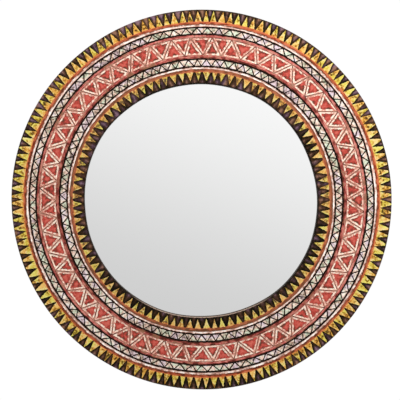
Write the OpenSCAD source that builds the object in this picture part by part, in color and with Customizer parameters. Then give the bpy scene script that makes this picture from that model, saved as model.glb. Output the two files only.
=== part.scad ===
// Round wall mirror in a chip-carved, painted wooden ring.
// Eight boards are glued end to end into a ring. The front is carved with bands of triangles, and the
// back is stepped to hold the glass, a cushion sheet and a screwed backing board. Two strap hangers with
// swinging rings carry it, and two rubber bumpers keep its lower edge off the wall.
// The origin is on the wall behind the glass's centre: +Z is up and the front faces -Y.

/* [Frame] */
// Outside diameter of the wooden ring
frame_d = 500; // [470:1:540]
// Thickness of the boards, from the back to the carved face
frame_t = 20; // [18:0.5:26]
// Radius of the rounded outer edge at the front
edge_round = 0.8; // [0.6:0.1:0.9]
// Radius of the rounded edge round the opening at the front
opening_round = 1.6; // [1:0.1:1.8]
// Chamfer of the outer edge at the back
back_chamfer = 1; // [0.5:0.1:2]
// Thickness of the glue between two boards, measured at the opening
glue_line = 0.08; // [0.05:0.01:0.2]

/* [Bands from the rim inwards] */
// Dark rim outside the outer points
rim_w = 1; // [1:0.1:3]
// Height of the outer points, from base to tip
outer_points_h = 15.3; // [12:0.1:16.5]
// Orange band at the base of either row of points
orange_w = 3.6; // [2.5:0.1:4.5]
// White gouged groove beside either orange band
white_w = 2.7; // [2.2:0.1:3.6]
// Black line beside either row of small triangles, with the V cut along its middle
line_w = 1.4; // [1:0.1:2]
// Height of the outer row of small triangles
outer_zigzag_h = 8; // [7:0.1:9]
// Plain red border outside the large triangles
outer_border_w = 2.8; // [2.4:0.1:4]
// Height of the row of large triangles
red_zigzag_h = 22.6; // [20:0.1:24]
// Plain red border inside the large triangles
inner_border_w = 3.9; // [3:0.1:5]
// Height of the inner row of small triangles
inner_zigzag_h = 8.9; // [7.5:0.1:9.8]
// Height of the inner points, from base to tip
inner_points_h = 13.3; // [10:0.1:15]
// Dark edge between the inner points and the opening
inner_edge_w = 1.9; // [1.9:0.1:5]

/* [Carving] */
// Outer points on each board
outer_points_n = 18; // [14:1:20]
// Inner points on each board
inner_points_n = 12; // [9:1:14]
// Pairs of small triangles on each board, in either row
zigzag_n = 12; // [9:1:14]
// Pairs of large triangles on each board
red_zigzag_n = 6; // [5:1:7]
// Depth of the points
point_depth = 2; // [1:0.1:2.6]
// Depth of the small triangles
zigzag_depth = 1.3; // [0.8:0.1:1.8]
// Depth of the large triangles
red_depth = 1.4; // [1:0.1:2.4]
// Depth of the white outline round each large triangle
outline_depth = 0.8; // [0.5:0.1:1.1]
// Width of the white outline round each large triangle
outline_w = 2; // [1.6:0.1:2.6]
// Depth of the white gouged grooves
white_depth = 0.7; // [0.4:0.1:0.9]
// Depth of the black V lines
line_depth = 0.7; // [0.5:0.1:1]
// Wood left standing between two small triangles
ridge_w = 1.1; // [0.7:0.1:1.4]
// Wood left standing between two large triangles
red_ridge_w = 1.5; // [0.8:0.1:1.8]
// Wood left standing between the bases of two outer points
outer_point_gap = 1.2; // [0.8:0.1:2.6]
// Wood left standing between the bases of two inner points
inner_point_gap = 1.9; // [0.8:0.1:3]
// How far the hand cutting strays, as a share of a triangle's width
stray = 0.11; // [0:0.01:0.12]

/* [Glass and back] */
// Thickness of the mirror glass
glass_t = 4; // [3:0.5:5]
// How far the wooden lip covers the glass's edge
lip_cover = 6; // [5:0.5:8]
// Gap round the glass and round the backing board
edge_gap = 1; // [0.5:0.1:1.5]
// Thickness of the cushion sheet behind the glass
sheet_t = 1.5; // [1:0.25:2]
// Thickness of the plywood backing board
board_t = 4; // [3.5:0.5:5]
// Width of the ledge that the backing board is screwed to
ledge_w = 14; // [12:0.5:15]
// How far the backing board lies below the frame's back
board_sink = 0.5; // [0.3:0.1:1]

/* [Joints and screws] */
// Length of the wooden biscuit in each joint
biscuit_l = 53; // [48:1:56]
// Width of the biscuit, half of it in either board
biscuit_w = 19; // [16:1:22]
// Thickness of the biscuit
biscuit_t = 4; // [3:0.5:4.5]
// Play round a biscuit in its slot
biscuit_play = 0.15; // [0.1:0.05:0.3]
// Diameter of the wood screws
screw_d = 3.5; // [3:0.1:4]
// Length of the wood screws
screw_l = 12; // [10:0.5:13]
// Diameter of the screw heads
screw_head_d = 7; // [6:0.1:7.6]
// Height of the countersunk and of the pan screw heads
screw_head_h = 1.9; // [1.5:0.1:2.2]

/* [Hangers and bumpers] */
// How far the hangers' pivots stand from the top, as an angle round the ring
hanger_angle = 43.5; // [40:0.5:47]
// Width of the folded steel strap
strap_w = 12; // [10:0.5:14]
// Length of the strap below the pivot
strap_l = 42; // [39:1:48]
// Thickness of the strap's steel
strap_t = 1; // [0.8:0.1:1.2]
// Wire diameter of the hanger ring
ring_wire_d = 2.5; // [2:0.1:2.7]
// Width of the hanger ring between its wire's centre lines
ring_w = 18; // [17:0.5:20]
// Height of the hanger ring between its wire's centre lines
ring_h = 15; // [13:0.5:16]
// Distance from the pivot to the first screw
first_screw = 22; // [21:0.5:24]
// Distance between a strap's two screws
screw_pitch = 14; // [11:0.5:14]
// Diameter of the rubber bumpers
bumper_d = 14; // [12:0.5:18]
// Thickness of the bumpers, which is the gap to the wall
bumper_t = 6; // [6:0.5:9]
// How far the bumpers stand from the bottom, as an angle round the ring
bumper_angle = 34.5; // [26:0.5:40]

/* [Hidden] */
$fn = 96;

// Paints and materials
black_paint = "#2a2320";
yellow_paint = "#d9b52f";
orange_paint = "#a9542f";
red_paint = "#c2453f";
white_paint = "#ded6cc";
bare_wood = "#b98f63";
plywood = "#a67c4c";
steel = "#b9b4a6";
rubber = "#22221f";

// The boards, each as wide an angle as the next
segments = 8;
segment_angle = 360 / segments;

// Radii where one band ends and the next begins, from the rim inwards
frame_r = frame_d / 2;
outer_tip_r = frame_r - rim_w;
outer_base_r = outer_tip_r - outer_points_h;
outer_white_r = outer_base_r - orange_w;
outer_line_r = outer_white_r - white_w;
outer_zigzag_r = outer_line_r - line_w;
red_outer_line_r = outer_zigzag_r - outer_zigzag_h;
red_border_r = red_outer_line_r - line_w;
red_zigzag_r = red_border_r - outer_border_w;
red_inner_border_r = red_zigzag_r - red_zigzag_h;
red_inner_line_r = red_inner_border_r - inner_border_w;
inner_zigzag_r = red_inner_line_r - line_w;
inner_line_r = inner_zigzag_r - inner_zigzag_h;
inner_white_r = inner_line_r - line_w;
inner_orange_r = inner_white_r - white_w;
inner_base_r = inner_orange_r - orange_w;
inner_tip_r = inner_base_r - inner_points_h;
opening_r = inner_tip_r - inner_edge_w;

// Wood left flat between a V cut and either edge of its black line
line_land = 0.1;

// Levels, from the wall at 0 towards the viewer
back_z = bumper_t;
front_z = back_z + frame_t;
board_z = back_z + board_sink;
ledge_z = board_z + board_t;
glass_z = ledge_z + sheet_t;
lip_z = glass_z + glass_t;
biscuit_z = back_z + frame_t / 2 - 1;

// Rebates for the glass and for the backing board, and the middle of the flat back outside them
glass_r = opening_r + lip_cover;
glass_rebate_r = glass_r + edge_gap;
board_rebate_r = glass_rebate_r + ledge_w;
board_r = board_rebate_r - edge_gap;
board_screw_r = (glass_rebate_r + board_rebate_r) / 2;
back_r = (board_rebate_r + frame_r) / 2;

// Screws: a shank turns in its pilot hole with this much play, and a head in its seat
shank_r = screw_d / 2;
head_r = screw_head_d / 2;
pilot_play = 0.05;
seat_play = 0.1;
shank_tip = 3;
board_hole_play = 0.3;
strap_hole_play = 0.25;

// Hanger: the ring's bar turns in the strap's loop, and the ring hangs just clear of the strap
wire_r = ring_wire_d / 2;
loop_play = 0.05;
loop_r = wire_r + loop_play + strap_t;
fold_gap = 0.2;
strap_total_t = 2 * strap_t + fold_gap;
pivot_z = back_z - loop_r - loop_play;
strap_face_z = back_z - strap_total_t;
ring_rest_gap = 0.3;
ring_rest_angle = asin((pivot_z - strap_face_z + ring_rest_gap + wire_r) / ring_h);

// Cutters reach this far past what they cut, and a chip's cutter this far past the face
over = 1;
face_over = 0.1;

// A point on a circle, clockwise from the top
function on_circle(r, a) = [r * sin(a), r * cos(a)];

// How unevenly a hand cuts cut number i of a row, between -1 and 1: two sines that never fall in step.
// The row closes on itself, so that its last cut meets its first
function hand(i, around, row) =
    let (n = (i % around + around) % around)
    (sin(n * 137.5 + row * 61) + sin(n * 73.1 + row * 149)) / 2;

// Points on a line from a to b, and the middle of a triangle's inscribed circle
function towards(a, b, t) = a + (b - a) * t;
function incentre(t) =
    let (a = norm(t[1] - t[2]), b = norm(t[2] - t[0]), c = norm(t[0] - t[1]))
    (a * t[0] + b * t[1] + c * t[2]) / (a + b + c);
function inradius(t) =
    let (a = norm(t[1] - t[2]), b = norm(t[2] - t[0]), c = norm(t[0] - t[1]), s = (a + b + c) / 2)
    sqrt((s - a) * (s - b) * (s - c) / s);
function inset(t, d) = let (m = incentre(t), k = 1 - d / inradius(t)) [for (p = t) m + (p - m) * k];
function at_height(points, z) = [for (p = points) [p[0], p[1], z]];

// The corners of a zigzag between two circles: even corners lie on the inner circle, odd on the outer
function zigzag_corner(j, pitch, inner_r, outer_r, row) =
    let (a = (j + stray * 2 * hand(j, 720 / pitch, row)) * pitch / 2)
    on_circle(j % 2 == 0 ? inner_r : outer_r, a);

// A three-sided chip: facets fall from a triangle on the face to one deepest point. The triangle's
// corners run clockwise as the viewer sees them
module chip(triangle, deepest, depth) {
    k = (depth + face_over) / depth;
    top = [for (p = triangle) towards(deepest, p, k)];
    polyhedron(
        points = concat(at_height(top, front_z + face_over), at_height([deepest], front_z - depth)),
        faces = [[0, 1, 2], [1, 0, 3], [2, 1, 3], [0, 2, 3]]
    );
}

// A chip with a V groove all round it, cut as one: rim, groove, shoulder and deepest point
module outlined_chip(triangle) {
    shoulder = 0.15;
    slope = outline_w / 2 / outline_depth;
    polyhedron(
        points = concat(
            at_height(inset(triangle, -face_over * slope), front_z + face_over),
            at_height(inset(triangle, outline_w / 2), front_z - outline_depth),
            at_height(inset(triangle, outline_w), front_z - shoulder),
            at_height([incentre(triangle)], front_z - red_depth)
        ),
        faces = concat(
            [[0, 1, 2]],
            [for (ring = [0, 3], i = [0:2]) let (n = (i + 1) % 3) [ring + n, ring + i, ring + 3 + n]],
            [for (ring = [0, 3], i = [0:2]) let (n = (i + 1) % 3) [ring + i, ring + 3 + i, ring + 3 + n]],
            [for (i = [0:2]) [6 + (i + 1) % 3, 6 + i, 9]]
        )
    );
}

// A row of points from board number s: each stands on its base circle and reaches towards its tip circle
module point_row(s, count, base_r, tip_r, gap, row) {
    pitch = segment_angle / count;
    gap_angle = gap / base_r * 180 / PI;
    first = (s - 0.5) * count;
    around = count * segments;
    for (i = [first - 1 : first + count]) {
        left = (i + stray * hand(i, around, row)) * pitch + gap_angle / 2;
        right = (i + 1 + stray * hand(i + 1, around, row)) * pitch - gap_angle / 2;
        lean = (0.5 + stray * hand(i, around, row + 1)) * (right - left);
        shy = 0.5 + 0.5 * hand(i, around, row + 2);
        tip = on_circle(towards(tip_r, base_r, stray / 2 * shy), left + lean);
        a = on_circle(base_r, left);
        b = on_circle(base_r, right);
        deepest = towards((a + b) / 2, tip, 0.3);
        color(yellow_paint)
            chip(base_r < tip_r ? [a, tip, b] : [a, b, tip], deepest, point_depth);
    }
}

// A zigzag of triangles on board number s, with a ridge of wood between each two
module zigzag_row(s, count, inner_r, outer_r, ridge, row, outlined = false) {
    pitch = segment_angle / count;
    first = (s - 0.5) * count * 2;
    for (j = [first - 3 : first + count * 2 + 2]) {
        corners = [for (n = [0:2]) zigzag_corner(j + n, pitch, inner_r, outer_r, row)];
        triangle = inset(j % 2 == 0 ? corners : [corners[0], corners[2], corners[1]], ridge / 2);
        if (outlined)
            color(red_paint) outlined_chip(triangle);
        else
            color(white_paint) chip(triangle, incentre(triangle), zigzag_depth);
    }
}

// Section cutters: a V line, a gouged groove and a rounded corner
module v_line(r, w, depth) {
    k = (depth + over) / depth;
    polygon([
        [r - w / 2 * (1 - k), front_z + over],
        [r - w / 2, front_z - depth],
        [r - w / 2 * (1 + k), front_z + over]
    ]);
}

module gouged_groove(r, w, depth) {
    gouge_r = (w * w / 4 + depth * depth) / (2 * depth);
    translate([r - w / 2, front_z - depth + gouge_r]) circle(gouge_r);
}

// What is cut off a corner of the section at [x, y] to round it, with the wood towards [sx, sy]
module corner_waste(x, y, radius, sx, sy) {
    difference() {
        translate([x + (sx < 0 ? -radius : -over), y + (sy < 0 ? -radius : -over)])
            square([radius + over, radius + over]);
        translate([x + sx * radius, y + sy * radius]) circle(radius);
    }
}

// The ring's section: radius to the right, and up towards the viewer
module frame_section() {
    difference() {
        polygon([
            [opening_r, front_z], [opening_r, lip_z],
            [glass_rebate_r, lip_z], [glass_rebate_r, ledge_z],
            [board_rebate_r, ledge_z], [board_rebate_r, back_z],
            [frame_r - back_chamfer, back_z], [frame_r, back_z + back_chamfer],
            [frame_r, front_z]
        ]);
        corner_waste(frame_r, front_z, edge_round, -1, -1);
        corner_waste(opening_r, front_z, opening_round, 1, -1);
        gouged_groove(outer_white_r, white_w, white_depth);
        gouged_groove(inner_white_r, white_w, white_depth);
        for (r = [outer_line_r, red_outer_line_r, red_inner_line_r, inner_line_r])
            v_line(r - line_land, line_w - 2 * line_land, line_depth);
    }
}

// Everything that is carved into board number s
module carving(s) {
    point_row(s, outer_points_n, outer_base_r, outer_tip_r, outer_point_gap, 1);
    zigzag_row(s, zigzag_n, red_outer_line_r, outer_zigzag_r, ridge_w, 2);
    zigzag_row(s, red_zigzag_n, red_inner_border_r, red_zigzag_r, red_ridge_w, 3, outlined = true);
    zigzag_row(s, zigzag_n, inner_line_r, inner_zigzag_r, ridge_w, 4);
    point_row(s, inner_points_n, inner_base_r, inner_tip_r, inner_point_gap, 5);
}

// A biscuit lies in the joint at clock angle a, its length along the joint
module biscuit(a, play = 0) {
    arc_r = (pow(biscuit_l * 1.06, 2) + biscuit_w * biscuit_w) / (4 * biscuit_w);
    side = arc_r - biscuit_w / 2;
    rotate([0, 0, -a]) translate([0, back_r, biscuit_z - biscuit_t / 2 - play])
        linear_extrude(biscuit_t + 2 * play) intersection() {
            translate([-side, 0]) circle(arc_r + play, $fn = 180);
            translate([side, 0]) circle(arc_r + play, $fn = 180);
            square([biscuit_w + 2 * play + over, biscuit_l + 2 * play], center = true);
        }
}

// A straight hole or shank along the screw's axis, at [x, y], between two levels
module along(x, y, r, low, high) {
    translate([x, y, low]) cylinder(r = r, h = high - low);
}

// A wood screw whose head's outer face is at z, driven towards the viewer
module wood_screw(x, y, z, countersunk) {
    under_head = countersunk ? z : z + screw_head_h;
    neck = countersunk ? z + screw_head_h : under_head;
    tip = under_head + screw_l;
    crown = screw_head_h * 0.35;
    translate([x, y, 0]) difference() {
        rotate_extrude() polygon(concat(
            countersunk ? [[0, z], [head_r, z]] : [[0, z], [head_r * 0.6, z], [head_r, z + crown]],
            countersunk ? [[shank_r, neck]] : [[head_r, neck], [shank_r, neck]],
            [[shank_r, tip - shank_tip], [0, tip]]
        ));
        for (turn = [0, 90])
            rotate([0, 0, turn])
                translate([-head_r * 0.45, -0.35, z - over])
                    cube([head_r * 0.9, 0.7, over + screw_head_h * 0.6]);
    }
}

// The pilot hole of a screw that starts at level z and whose tip reaches level tip
module pilot_hole(x, y, z, tip) {
    along(x, y, shank_r + pilot_play, z - over, tip + 0.3);
}

// Where the screws of the back and of one hanger stand; side is -1 on the left as the viewer sees it
function board_screws() = [for (s = [0 : segments - 1]) on_circle(board_screw_r, s * segment_angle)];
function hanger_at(side) = on_circle(back_r, side * hanger_angle);
function strap_screws(side) =
    [for (y = [first_screw, first_screw + screw_pitch]) hanger_at(side) - [0, y]];
function bumper_at(side) = on_circle(back_r, 180 - side * bumper_angle);
board_screw_tip = board_z + screw_l;
strap_screw_tip = strap_face_z + screw_l;

// Board number s of the ring, clockwise from the top, with its share of the carving
module frame_segment(s) {
    glue_angle = glue_line / opening_r * 180 / PI;
    color(black_paint) difference() {
        rotate([0, 0, 90 - (s + 0.5) * segment_angle + glue_angle / 2])
            rotate_extrude(angle = segment_angle - glue_angle, $fn = 360) frame_section();
        carving(s);
        color(bare_wood) for (joint = [s - 0.5, s + 0.5])
            biscuit(joint * segment_angle, biscuit_play);
        for (p = board_screws())
            pilot_hole(p[0], p[1], ledge_z, board_screw_tip);
        for (side = [-1, 1], p = strap_screws(side))
            pilot_hole(p[0], p[1], back_z, strap_screw_tip);
    }
}

module joint_biscuits() {
    color(bare_wood) for (s = [0 : segments - 1])
        biscuit((s + 0.5) * segment_angle);
}

module mirror_glass() {
    color("#dfe6e6") along(0, 0, glass_r, glass_z, lip_z);
}

module cushion_sheet() {
    color("#e9e7df") along(0, 0, glass_r, ledge_z, glass_z);
}

module backing_board() {
    color(plywood) difference() {
        along(0, 0, board_r, board_z, ledge_z);
        for (p = board_screws()) {
            along(p[0], p[1], shank_r + board_hole_play, board_z - over, ledge_z + over);
            translate([p[0], p[1], board_z - over])
                cylinder(
                    r1 = head_r + seat_play + over * (head_r - shank_r) / screw_head_h,
                    r2 = shank_r + seat_play,
                    h = screw_head_h + over
                );
        }
    }
}

module backing_screws() {
    color(steel) for (p = board_screws())
        wood_screw(p[0], p[1], board_z, countersunk = true);
}

// The strap's side view, with the pivot at its origin: two leaves folded round the loop
module strap_profile() {
    difference() {
        union() {
            circle(loop_r);
            translate([-strap_l, strap_face_z - pivot_z]) square([strap_l, strap_total_t]);
        }
        circle(wire_r + loop_play);
        translate([-strap_l - over, back_z - strap_t - fold_gap - pivot_z])
            square([strap_l + over - loop_r - 0.4, fold_gap]);
    }
}

// The strap's front view: square at the loop, round at the foot, with its two screw holes
module strap_outline(side) {
    end_r = strap_w / 2;
    pivot = hanger_at(side);
    difference() {
        union() {
            translate([pivot[0] - end_r, pivot[1] - strap_l + end_r])
                square([strap_w, strap_l - end_r + loop_r + over]);
            translate([pivot[0], pivot[1] - strap_l + end_r]) circle(end_r);
        }
        for (p = strap_screws(side))
            translate(p) circle(shank_r + strap_hole_play);
    }
}

module hanger_strap(side) {
    pivot = hanger_at(side);
    color(steel) intersection() {
        translate([pivot[0] - strap_w / 2 - over, pivot[1], pivot_z])
            rotate([90, 0, 90]) linear_extrude(strap_w + 2 * over) strap_profile();
        linear_extrude(back_z + over) strap_outline(side);
    }
}

// The ring hangs from its bar: a straight bar, two short legs and a round bow
module hanger_ring(side) {
    bow_r = ring_w / 2;
    leg = ring_h - bow_r;
    pivot = hanger_at(side);
    color(steel) translate([pivot[0], pivot[1], pivot_z]) rotate([ring_rest_angle, 0, 0]) union() {
        translate([-bow_r, 0, 0]) rotate([0, 90, 0]) cylinder(r = wire_r, h = ring_w);
        for (x = [-bow_r, bow_r]) {
            translate([x, 0, 0]) sphere(wire_r);
            translate([x, 0, 0]) rotate([90, 0, 0]) cylinder(r = wire_r, h = leg);
        }
        translate([0, -leg, 0]) rotate([0, 0, 180])
            rotate_extrude(angle = 180) translate([bow_r, 0]) circle(wire_r);
    }
}

module hanger_screws(side) {
    color(steel) for (p = strap_screws(side))
        wood_screw(p[0], p[1], strap_face_z - screw_head_h, countersunk = false);
}

module wall_bumper(side) {
    p = bumper_at(side);
    bevel = 1;
    color(rubber) translate([p[0], p[1], 0]) union() {
        cylinder(r1 = bumper_d / 2 - bevel, r2 = bumper_d / 2, h = bevel);
        translate([0, 0, bevel]) cylinder(r = bumper_d / 2, h = bumper_t - bevel);
    }
}

// Everything above is drawn face up; this stands it against the wall
module upright() {
    rotate([90, 0, 0]) children();
}

for (s = [0 : segments - 1])
    upright() frame_segment(s);
upright() joint_biscuits();
upright() mirror_glass();
upright() cushion_sheet();
upright() backing_board();
upright() backing_screws();
upright() hanger_strap(-1);  // hanger_strap_left
upright() hanger_ring(-1);  // hanger_ring_left
upright() hanger_screws(-1);  // hanger_screws_left
upright() hanger_strap(1);  // hanger_strap_right
upright() hanger_ring(1);  // hanger_ring_right
upright() hanger_screws(1);  // hanger_screws_right
upright() wall_bumper(-1);  // wall_bumper_left
upright() wall_bumper(1);  // wall_bumper_right
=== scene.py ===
# %% [markdown]
# # A carved and painted wall mirror
#
# This lesson dresses a round wall mirror: a wide wooden ring, chip-carved with bands of triangles and
# painted by hand, round a disc of mirror glass. The construction comes from an imported model that is
# loaded as a fixed frame, so its sizes and joints stay as they are. Here each surface gets its finish,
# the boards get the uneven line of hand work, and the glass, the back and the hardware get the small
# forms that light shows.
#
# All lengths are in metres. The wall is at Y = 0, the front faces -Y and +Z is up.

# %% The frame
import math

import bpy
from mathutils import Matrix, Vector


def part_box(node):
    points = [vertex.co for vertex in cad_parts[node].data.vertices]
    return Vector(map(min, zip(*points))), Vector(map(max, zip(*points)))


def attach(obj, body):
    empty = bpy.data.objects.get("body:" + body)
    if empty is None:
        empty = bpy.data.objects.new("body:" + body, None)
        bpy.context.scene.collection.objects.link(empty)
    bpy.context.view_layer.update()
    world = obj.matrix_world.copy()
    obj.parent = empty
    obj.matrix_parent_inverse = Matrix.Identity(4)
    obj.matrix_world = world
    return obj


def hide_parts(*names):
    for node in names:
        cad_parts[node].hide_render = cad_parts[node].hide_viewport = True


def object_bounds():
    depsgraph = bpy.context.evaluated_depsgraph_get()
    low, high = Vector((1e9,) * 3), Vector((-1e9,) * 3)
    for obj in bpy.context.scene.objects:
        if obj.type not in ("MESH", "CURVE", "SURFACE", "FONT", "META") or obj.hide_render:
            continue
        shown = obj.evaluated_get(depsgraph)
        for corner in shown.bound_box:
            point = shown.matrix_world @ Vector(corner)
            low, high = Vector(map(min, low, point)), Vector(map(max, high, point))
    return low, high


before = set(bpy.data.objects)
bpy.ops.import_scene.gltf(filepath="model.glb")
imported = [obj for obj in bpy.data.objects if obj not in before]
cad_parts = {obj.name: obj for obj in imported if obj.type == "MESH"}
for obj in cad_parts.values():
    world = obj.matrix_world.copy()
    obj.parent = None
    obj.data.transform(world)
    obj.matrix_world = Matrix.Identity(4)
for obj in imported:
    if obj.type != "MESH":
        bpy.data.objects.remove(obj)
cad_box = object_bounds()
print("CAD box:", [[round(v, 4) for v in corner] for corner in cad_box])

# %% [markdown]
# ## Sizes
#
# The ring's front is a set of bands, one inside the other. Each radius could be typed in, but then a change
# to one band would leave a gap beside it. So only the widths are named, from the rim inwards, and the
# radii follow. The rim's radius and the level of the front are read from the loaded model, so they
# can't drift from it.

# %% Radii of the carved bands
MM = 0.001
RIM_R = max(corner[0] for corner in cad_box)
FRONT_Y = min(corner[1] for corner in cad_box)

BAND_WIDTHS_MM = {
    "rim": 1.0,
    "outer_points": 15.3,
    "outer_orange": 3.6,
    "outer_white": 2.7,
    "outer_line": 1.4,
    "outer_zigzag": 8.0,
    "red_outer_line": 1.4,
    "outer_border": 2.8,
    "red_zigzag": 22.6,
    "inner_border": 3.9,
    "red_inner_line": 1.4,
    "inner_zigzag": 8.9,
    "inner_line": 1.4,
    "inner_white": 2.7,
    "inner_orange": 3.6,
    "inner_points": 13.3,
    "inner_edge": 1.9,
}


def band_radii(rim_r, widths_mm):
    """Each band's inner and outer radius, worked out from the rim inwards."""
    radii = {}
    outer = rim_r
    for name, width in widths_mm.items():
        inner = outer - width * MM
        radii[name] = (inner, outer)
        outer = inner
    return radii


BANDS = band_radii(RIM_R, BAND_WIDTHS_MM)
OPENING_R = BANDS["inner_edge"][0]
print("opening radius:", round(OPENING_R, 4))

# %% [markdown]
# The carver shared out each board evenly, so a row has a whole number of cuts on each of the eight boards.
# The counts, depths and spacings here repeat those that the model was carved with, because the paint has
# to land on the same cuts.

# %% Counts and cuts of the carving
BOARDS = 8
BOARD_ANGLE = 2 * math.pi / BOARDS
BOARD_SIDES = "top upper_right right lower_right bottom lower_left left upper_left".split()
SEGMENTS = ["frame_segment_" + side for side in BOARD_SIDES]
RED_PITCH = 2 * math.pi / 48
RED_ROW = 3
RED_RIDGE = 1.5 * MM
OUTLINE_W = 2.0 * MM
STRAY = 0.11
POINT_DEPTH = 2.0 * MM
POINT_ROWS = {
    "outer_points": {"count": 18, "gap": 1.2 * MM, "row": 1},
    "inner_points": {"count": 12, "gap": 1.9 * MM, "row": 5},
}


def in_mm(length):
    """A length in millimetres, rounded to be printed."""
    return round(length / MM, 2)


counts = [row["count"] for row in POINT_ROWS.values()]
print("points on each board:", counts, "and", in_mm(POINT_DEPTH), "mm deep")

# %% [markdown]
# ## Camera, floor and light
#
# The photograph looks straight at the mirror, on pure white. A short lens would see too much of the
# opening's inner wall, so the camera has a long one and stands well back. Its place could be found by
# trial, but the ring has to fill the same part of the frame as in the photograph, so it is worked out
# from the ring's centre and radius in pixels.

# %% Camera
PHOTO_SIZE = 400
PHOTO_CENTRE = (202.1, 199.85)
PHOTO_RADIUS = 190.5
LENS_MM = 150
SENSOR_MM = 36
LOOK_FROM_LEFT = math.radians(0.9)
LOOK_FROM_ABOVE = math.radians(0.9)

pixel = RIM_R / PHOTO_RADIUS
distance = LENS_MM / SENSOR_MM * PHOTO_SIZE * pixel
aim = Vector(
    (
        -(PHOTO_CENTRE[0] - PHOTO_SIZE / 2) * pixel,
        FRONT_Y,
        (PHOTO_CENTRE[1] - PHOTO_SIZE / 2) * pixel,
    )
)
camera_data = bpy.data.cameras.new("camera")
camera_data.lens = LENS_MM
camera_data.sensor_width = SENSOR_MM
camera = bpy.data.objects.new("camera", camera_data)
bpy.context.scene.collection.objects.link(camera)
view = Vector(
    (
        -math.sin(LOOK_FROM_LEFT),
        -math.cos(LOOK_FROM_LEFT) * math.cos(LOOK_FROM_ABOVE),
        math.sin(LOOK_FROM_ABOVE),
    )
)
camera.location = aim + distance * view
camera.rotation_euler = (-view).to_track_quat("-Z", "Y").to_euler()
bpy.context.scene.camera = camera
print("camera distance:", round(distance, 3))

# %% [markdown]
# A colour is easiest to choose as it looks on a screen, from 0 to 255, while a shader reckons in linear
# light. Linear numbers could be typed in, but nobody can read them, so every colour is given as it looks
# and turned into linear light here. How much light a paint gives back is a good check on its tones.

# %% Colours as they look
LIGHT_SHARES = (0.2126, 0.7152, 0.0722)


def linear(value):
    """A screen value from 0 to 255 as linear light."""
    value /= 255
    return value / 12.92 if value <= 0.04045 else ((value + 0.055) / 1.055) ** 2.4


def rgb(red, green, blue):
    """A screen colour as the linear colour, with alpha, that a socket takes."""
    return (linear(red), linear(green), linear(blue), 1.0)


def report_tones(paint, *tones):
    """Prints how much light the darkest and the brightest tone of a paint give back."""
    light = [sum(share * part for share, part in zip(LIGHT_SHARES, tone)) for tone in tones]
    print(f"{paint} gives back {min(light):.0%} to {max(light):.0%} of the light")


report_tones("grey from 64 to 192", rgb(64, 64, 64), rgb(192, 192, 192))

# %% [markdown]
# The mirror hangs on a wall, so the floor lies far below and does no more than catch light. A plain pale
# plane is enough. What a material needs is fed to its shader by the names of the sockets. `feed` takes a
# number or another node's output, so each finish from here on is a few short lines.

# %% Floor
FLOOR_Z = -1.1


def feed(tree, socket, value):
    """Links an output to a socket, or sets the socket to a plain value."""
    if isinstance(value, bpy.types.NodeSocket):
        tree.links.new(value, socket)
    else:
        socket.default_value = value


def feed_all(tree, sockets, **values):
    """Feeds sockets by name; an underscore stands for a space in the name."""
    for label, value in values.items():
        feed(tree, sockets[label.replace("_", " ")], value)


def principled(name):
    """A new material and its tree, which holds the main shader."""
    material = bpy.data.materials.new(name)
    material.use_nodes = True
    return material, material.node_tree


def coat(tree, **sockets):
    """Feeds the main shader's sockets by name."""
    feed_all(tree, tree.nodes["Principled BSDF"].inputs, **sockets)


def pale_floor():
    """A wide pale floor, well below the mirror."""
    bpy.ops.mesh.primitive_plane_add(size=12, location=(0, 0, FLOOR_Z))
    floor = bpy.context.object
    floor.name = "floor"
    material, tree = principled("floor")
    coat(tree, Base_Color=rgb(232, 231, 229), Roughness=0.7)
    floor.data.materials.append(material)


pale_floor()
print("floor at", FLOOR_Z)

# %% [markdown]
# Behind the mirror the photograph is pure white. A white wall there would catch shadows, so the world
# itself is white where the camera looks. As light it is dimmer, or it would fill every cut and the lamps
# couldn't model the carving. One sum tells the two apart, and `calc` and `total` write such sums.

# %% White world
WORLD_SEEN = 1.02
WORLD_LIGHT = 0.45


def calc(tree, operation, *values):
    """One math node: its operation on numbers or outputs."""
    node = tree.nodes.new("ShaderNodeMath")
    node.operation = operation
    for socket, value in zip(node.inputs, values):
        feed(tree, socket, value)
    return node.outputs[0]


def total(tree, start, *parts):
    """A number, or an output, plus the parts that follow: each a value and its weight."""
    result = start
    for value, weight in parts:
        result = calc(tree, "MULTIPLY_ADD", value, weight, result)
    return result


def white_world():
    """A white surrounding that lights from all sides."""
    world = bpy.data.worlds.new("studio")
    bpy.context.scene.world = world
    world.use_nodes = True
    tree = world.node_tree
    path = tree.nodes.new("ShaderNodeLightPath")
    strength = total(tree, WORLD_LIGHT, (path.outputs["Is Camera Ray"], WORLD_SEEN - WORLD_LIGHT))
    feed_all(tree, tree.nodes["Background"].inputs, Color=(1, 1, 1, 1), Strength=strength)


bpy.context.scene.view_settings.view_transform = "Standard"
white_world()
print("the world lights at", WORLD_LIGHT, "and shows at", WORLD_SEEN)

# %% [markdown]
# A mirror shows what stands in front of it. In an empty world it would be one flat tone, and a gradient
# that is painted on the glass would stay put in every view, as no reflection does. So a large card
# stands behind the camera, bright at the top right and greyer at the bottom left, and the glass reflects
# it with the slow gradient of the photograph.

# %% Reflected card
CARD_Y = -4.6
CARD_SIZE = 2.6
CARD_REACH = 0.48
CARD_LEAN = 0.35
CARD_FROM = -1.4
CARD_TO = 1.32
CARD_DARK = linear(211)
CARD_LIGHT = linear(255)


def coordinates(tree, vector):
    """The X, Y and Z of a vector."""
    node = tree.nodes.new("ShaderNodeSeparateXYZ")
    tree.links.new(vector, node.inputs[0])
    return node.outputs


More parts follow.
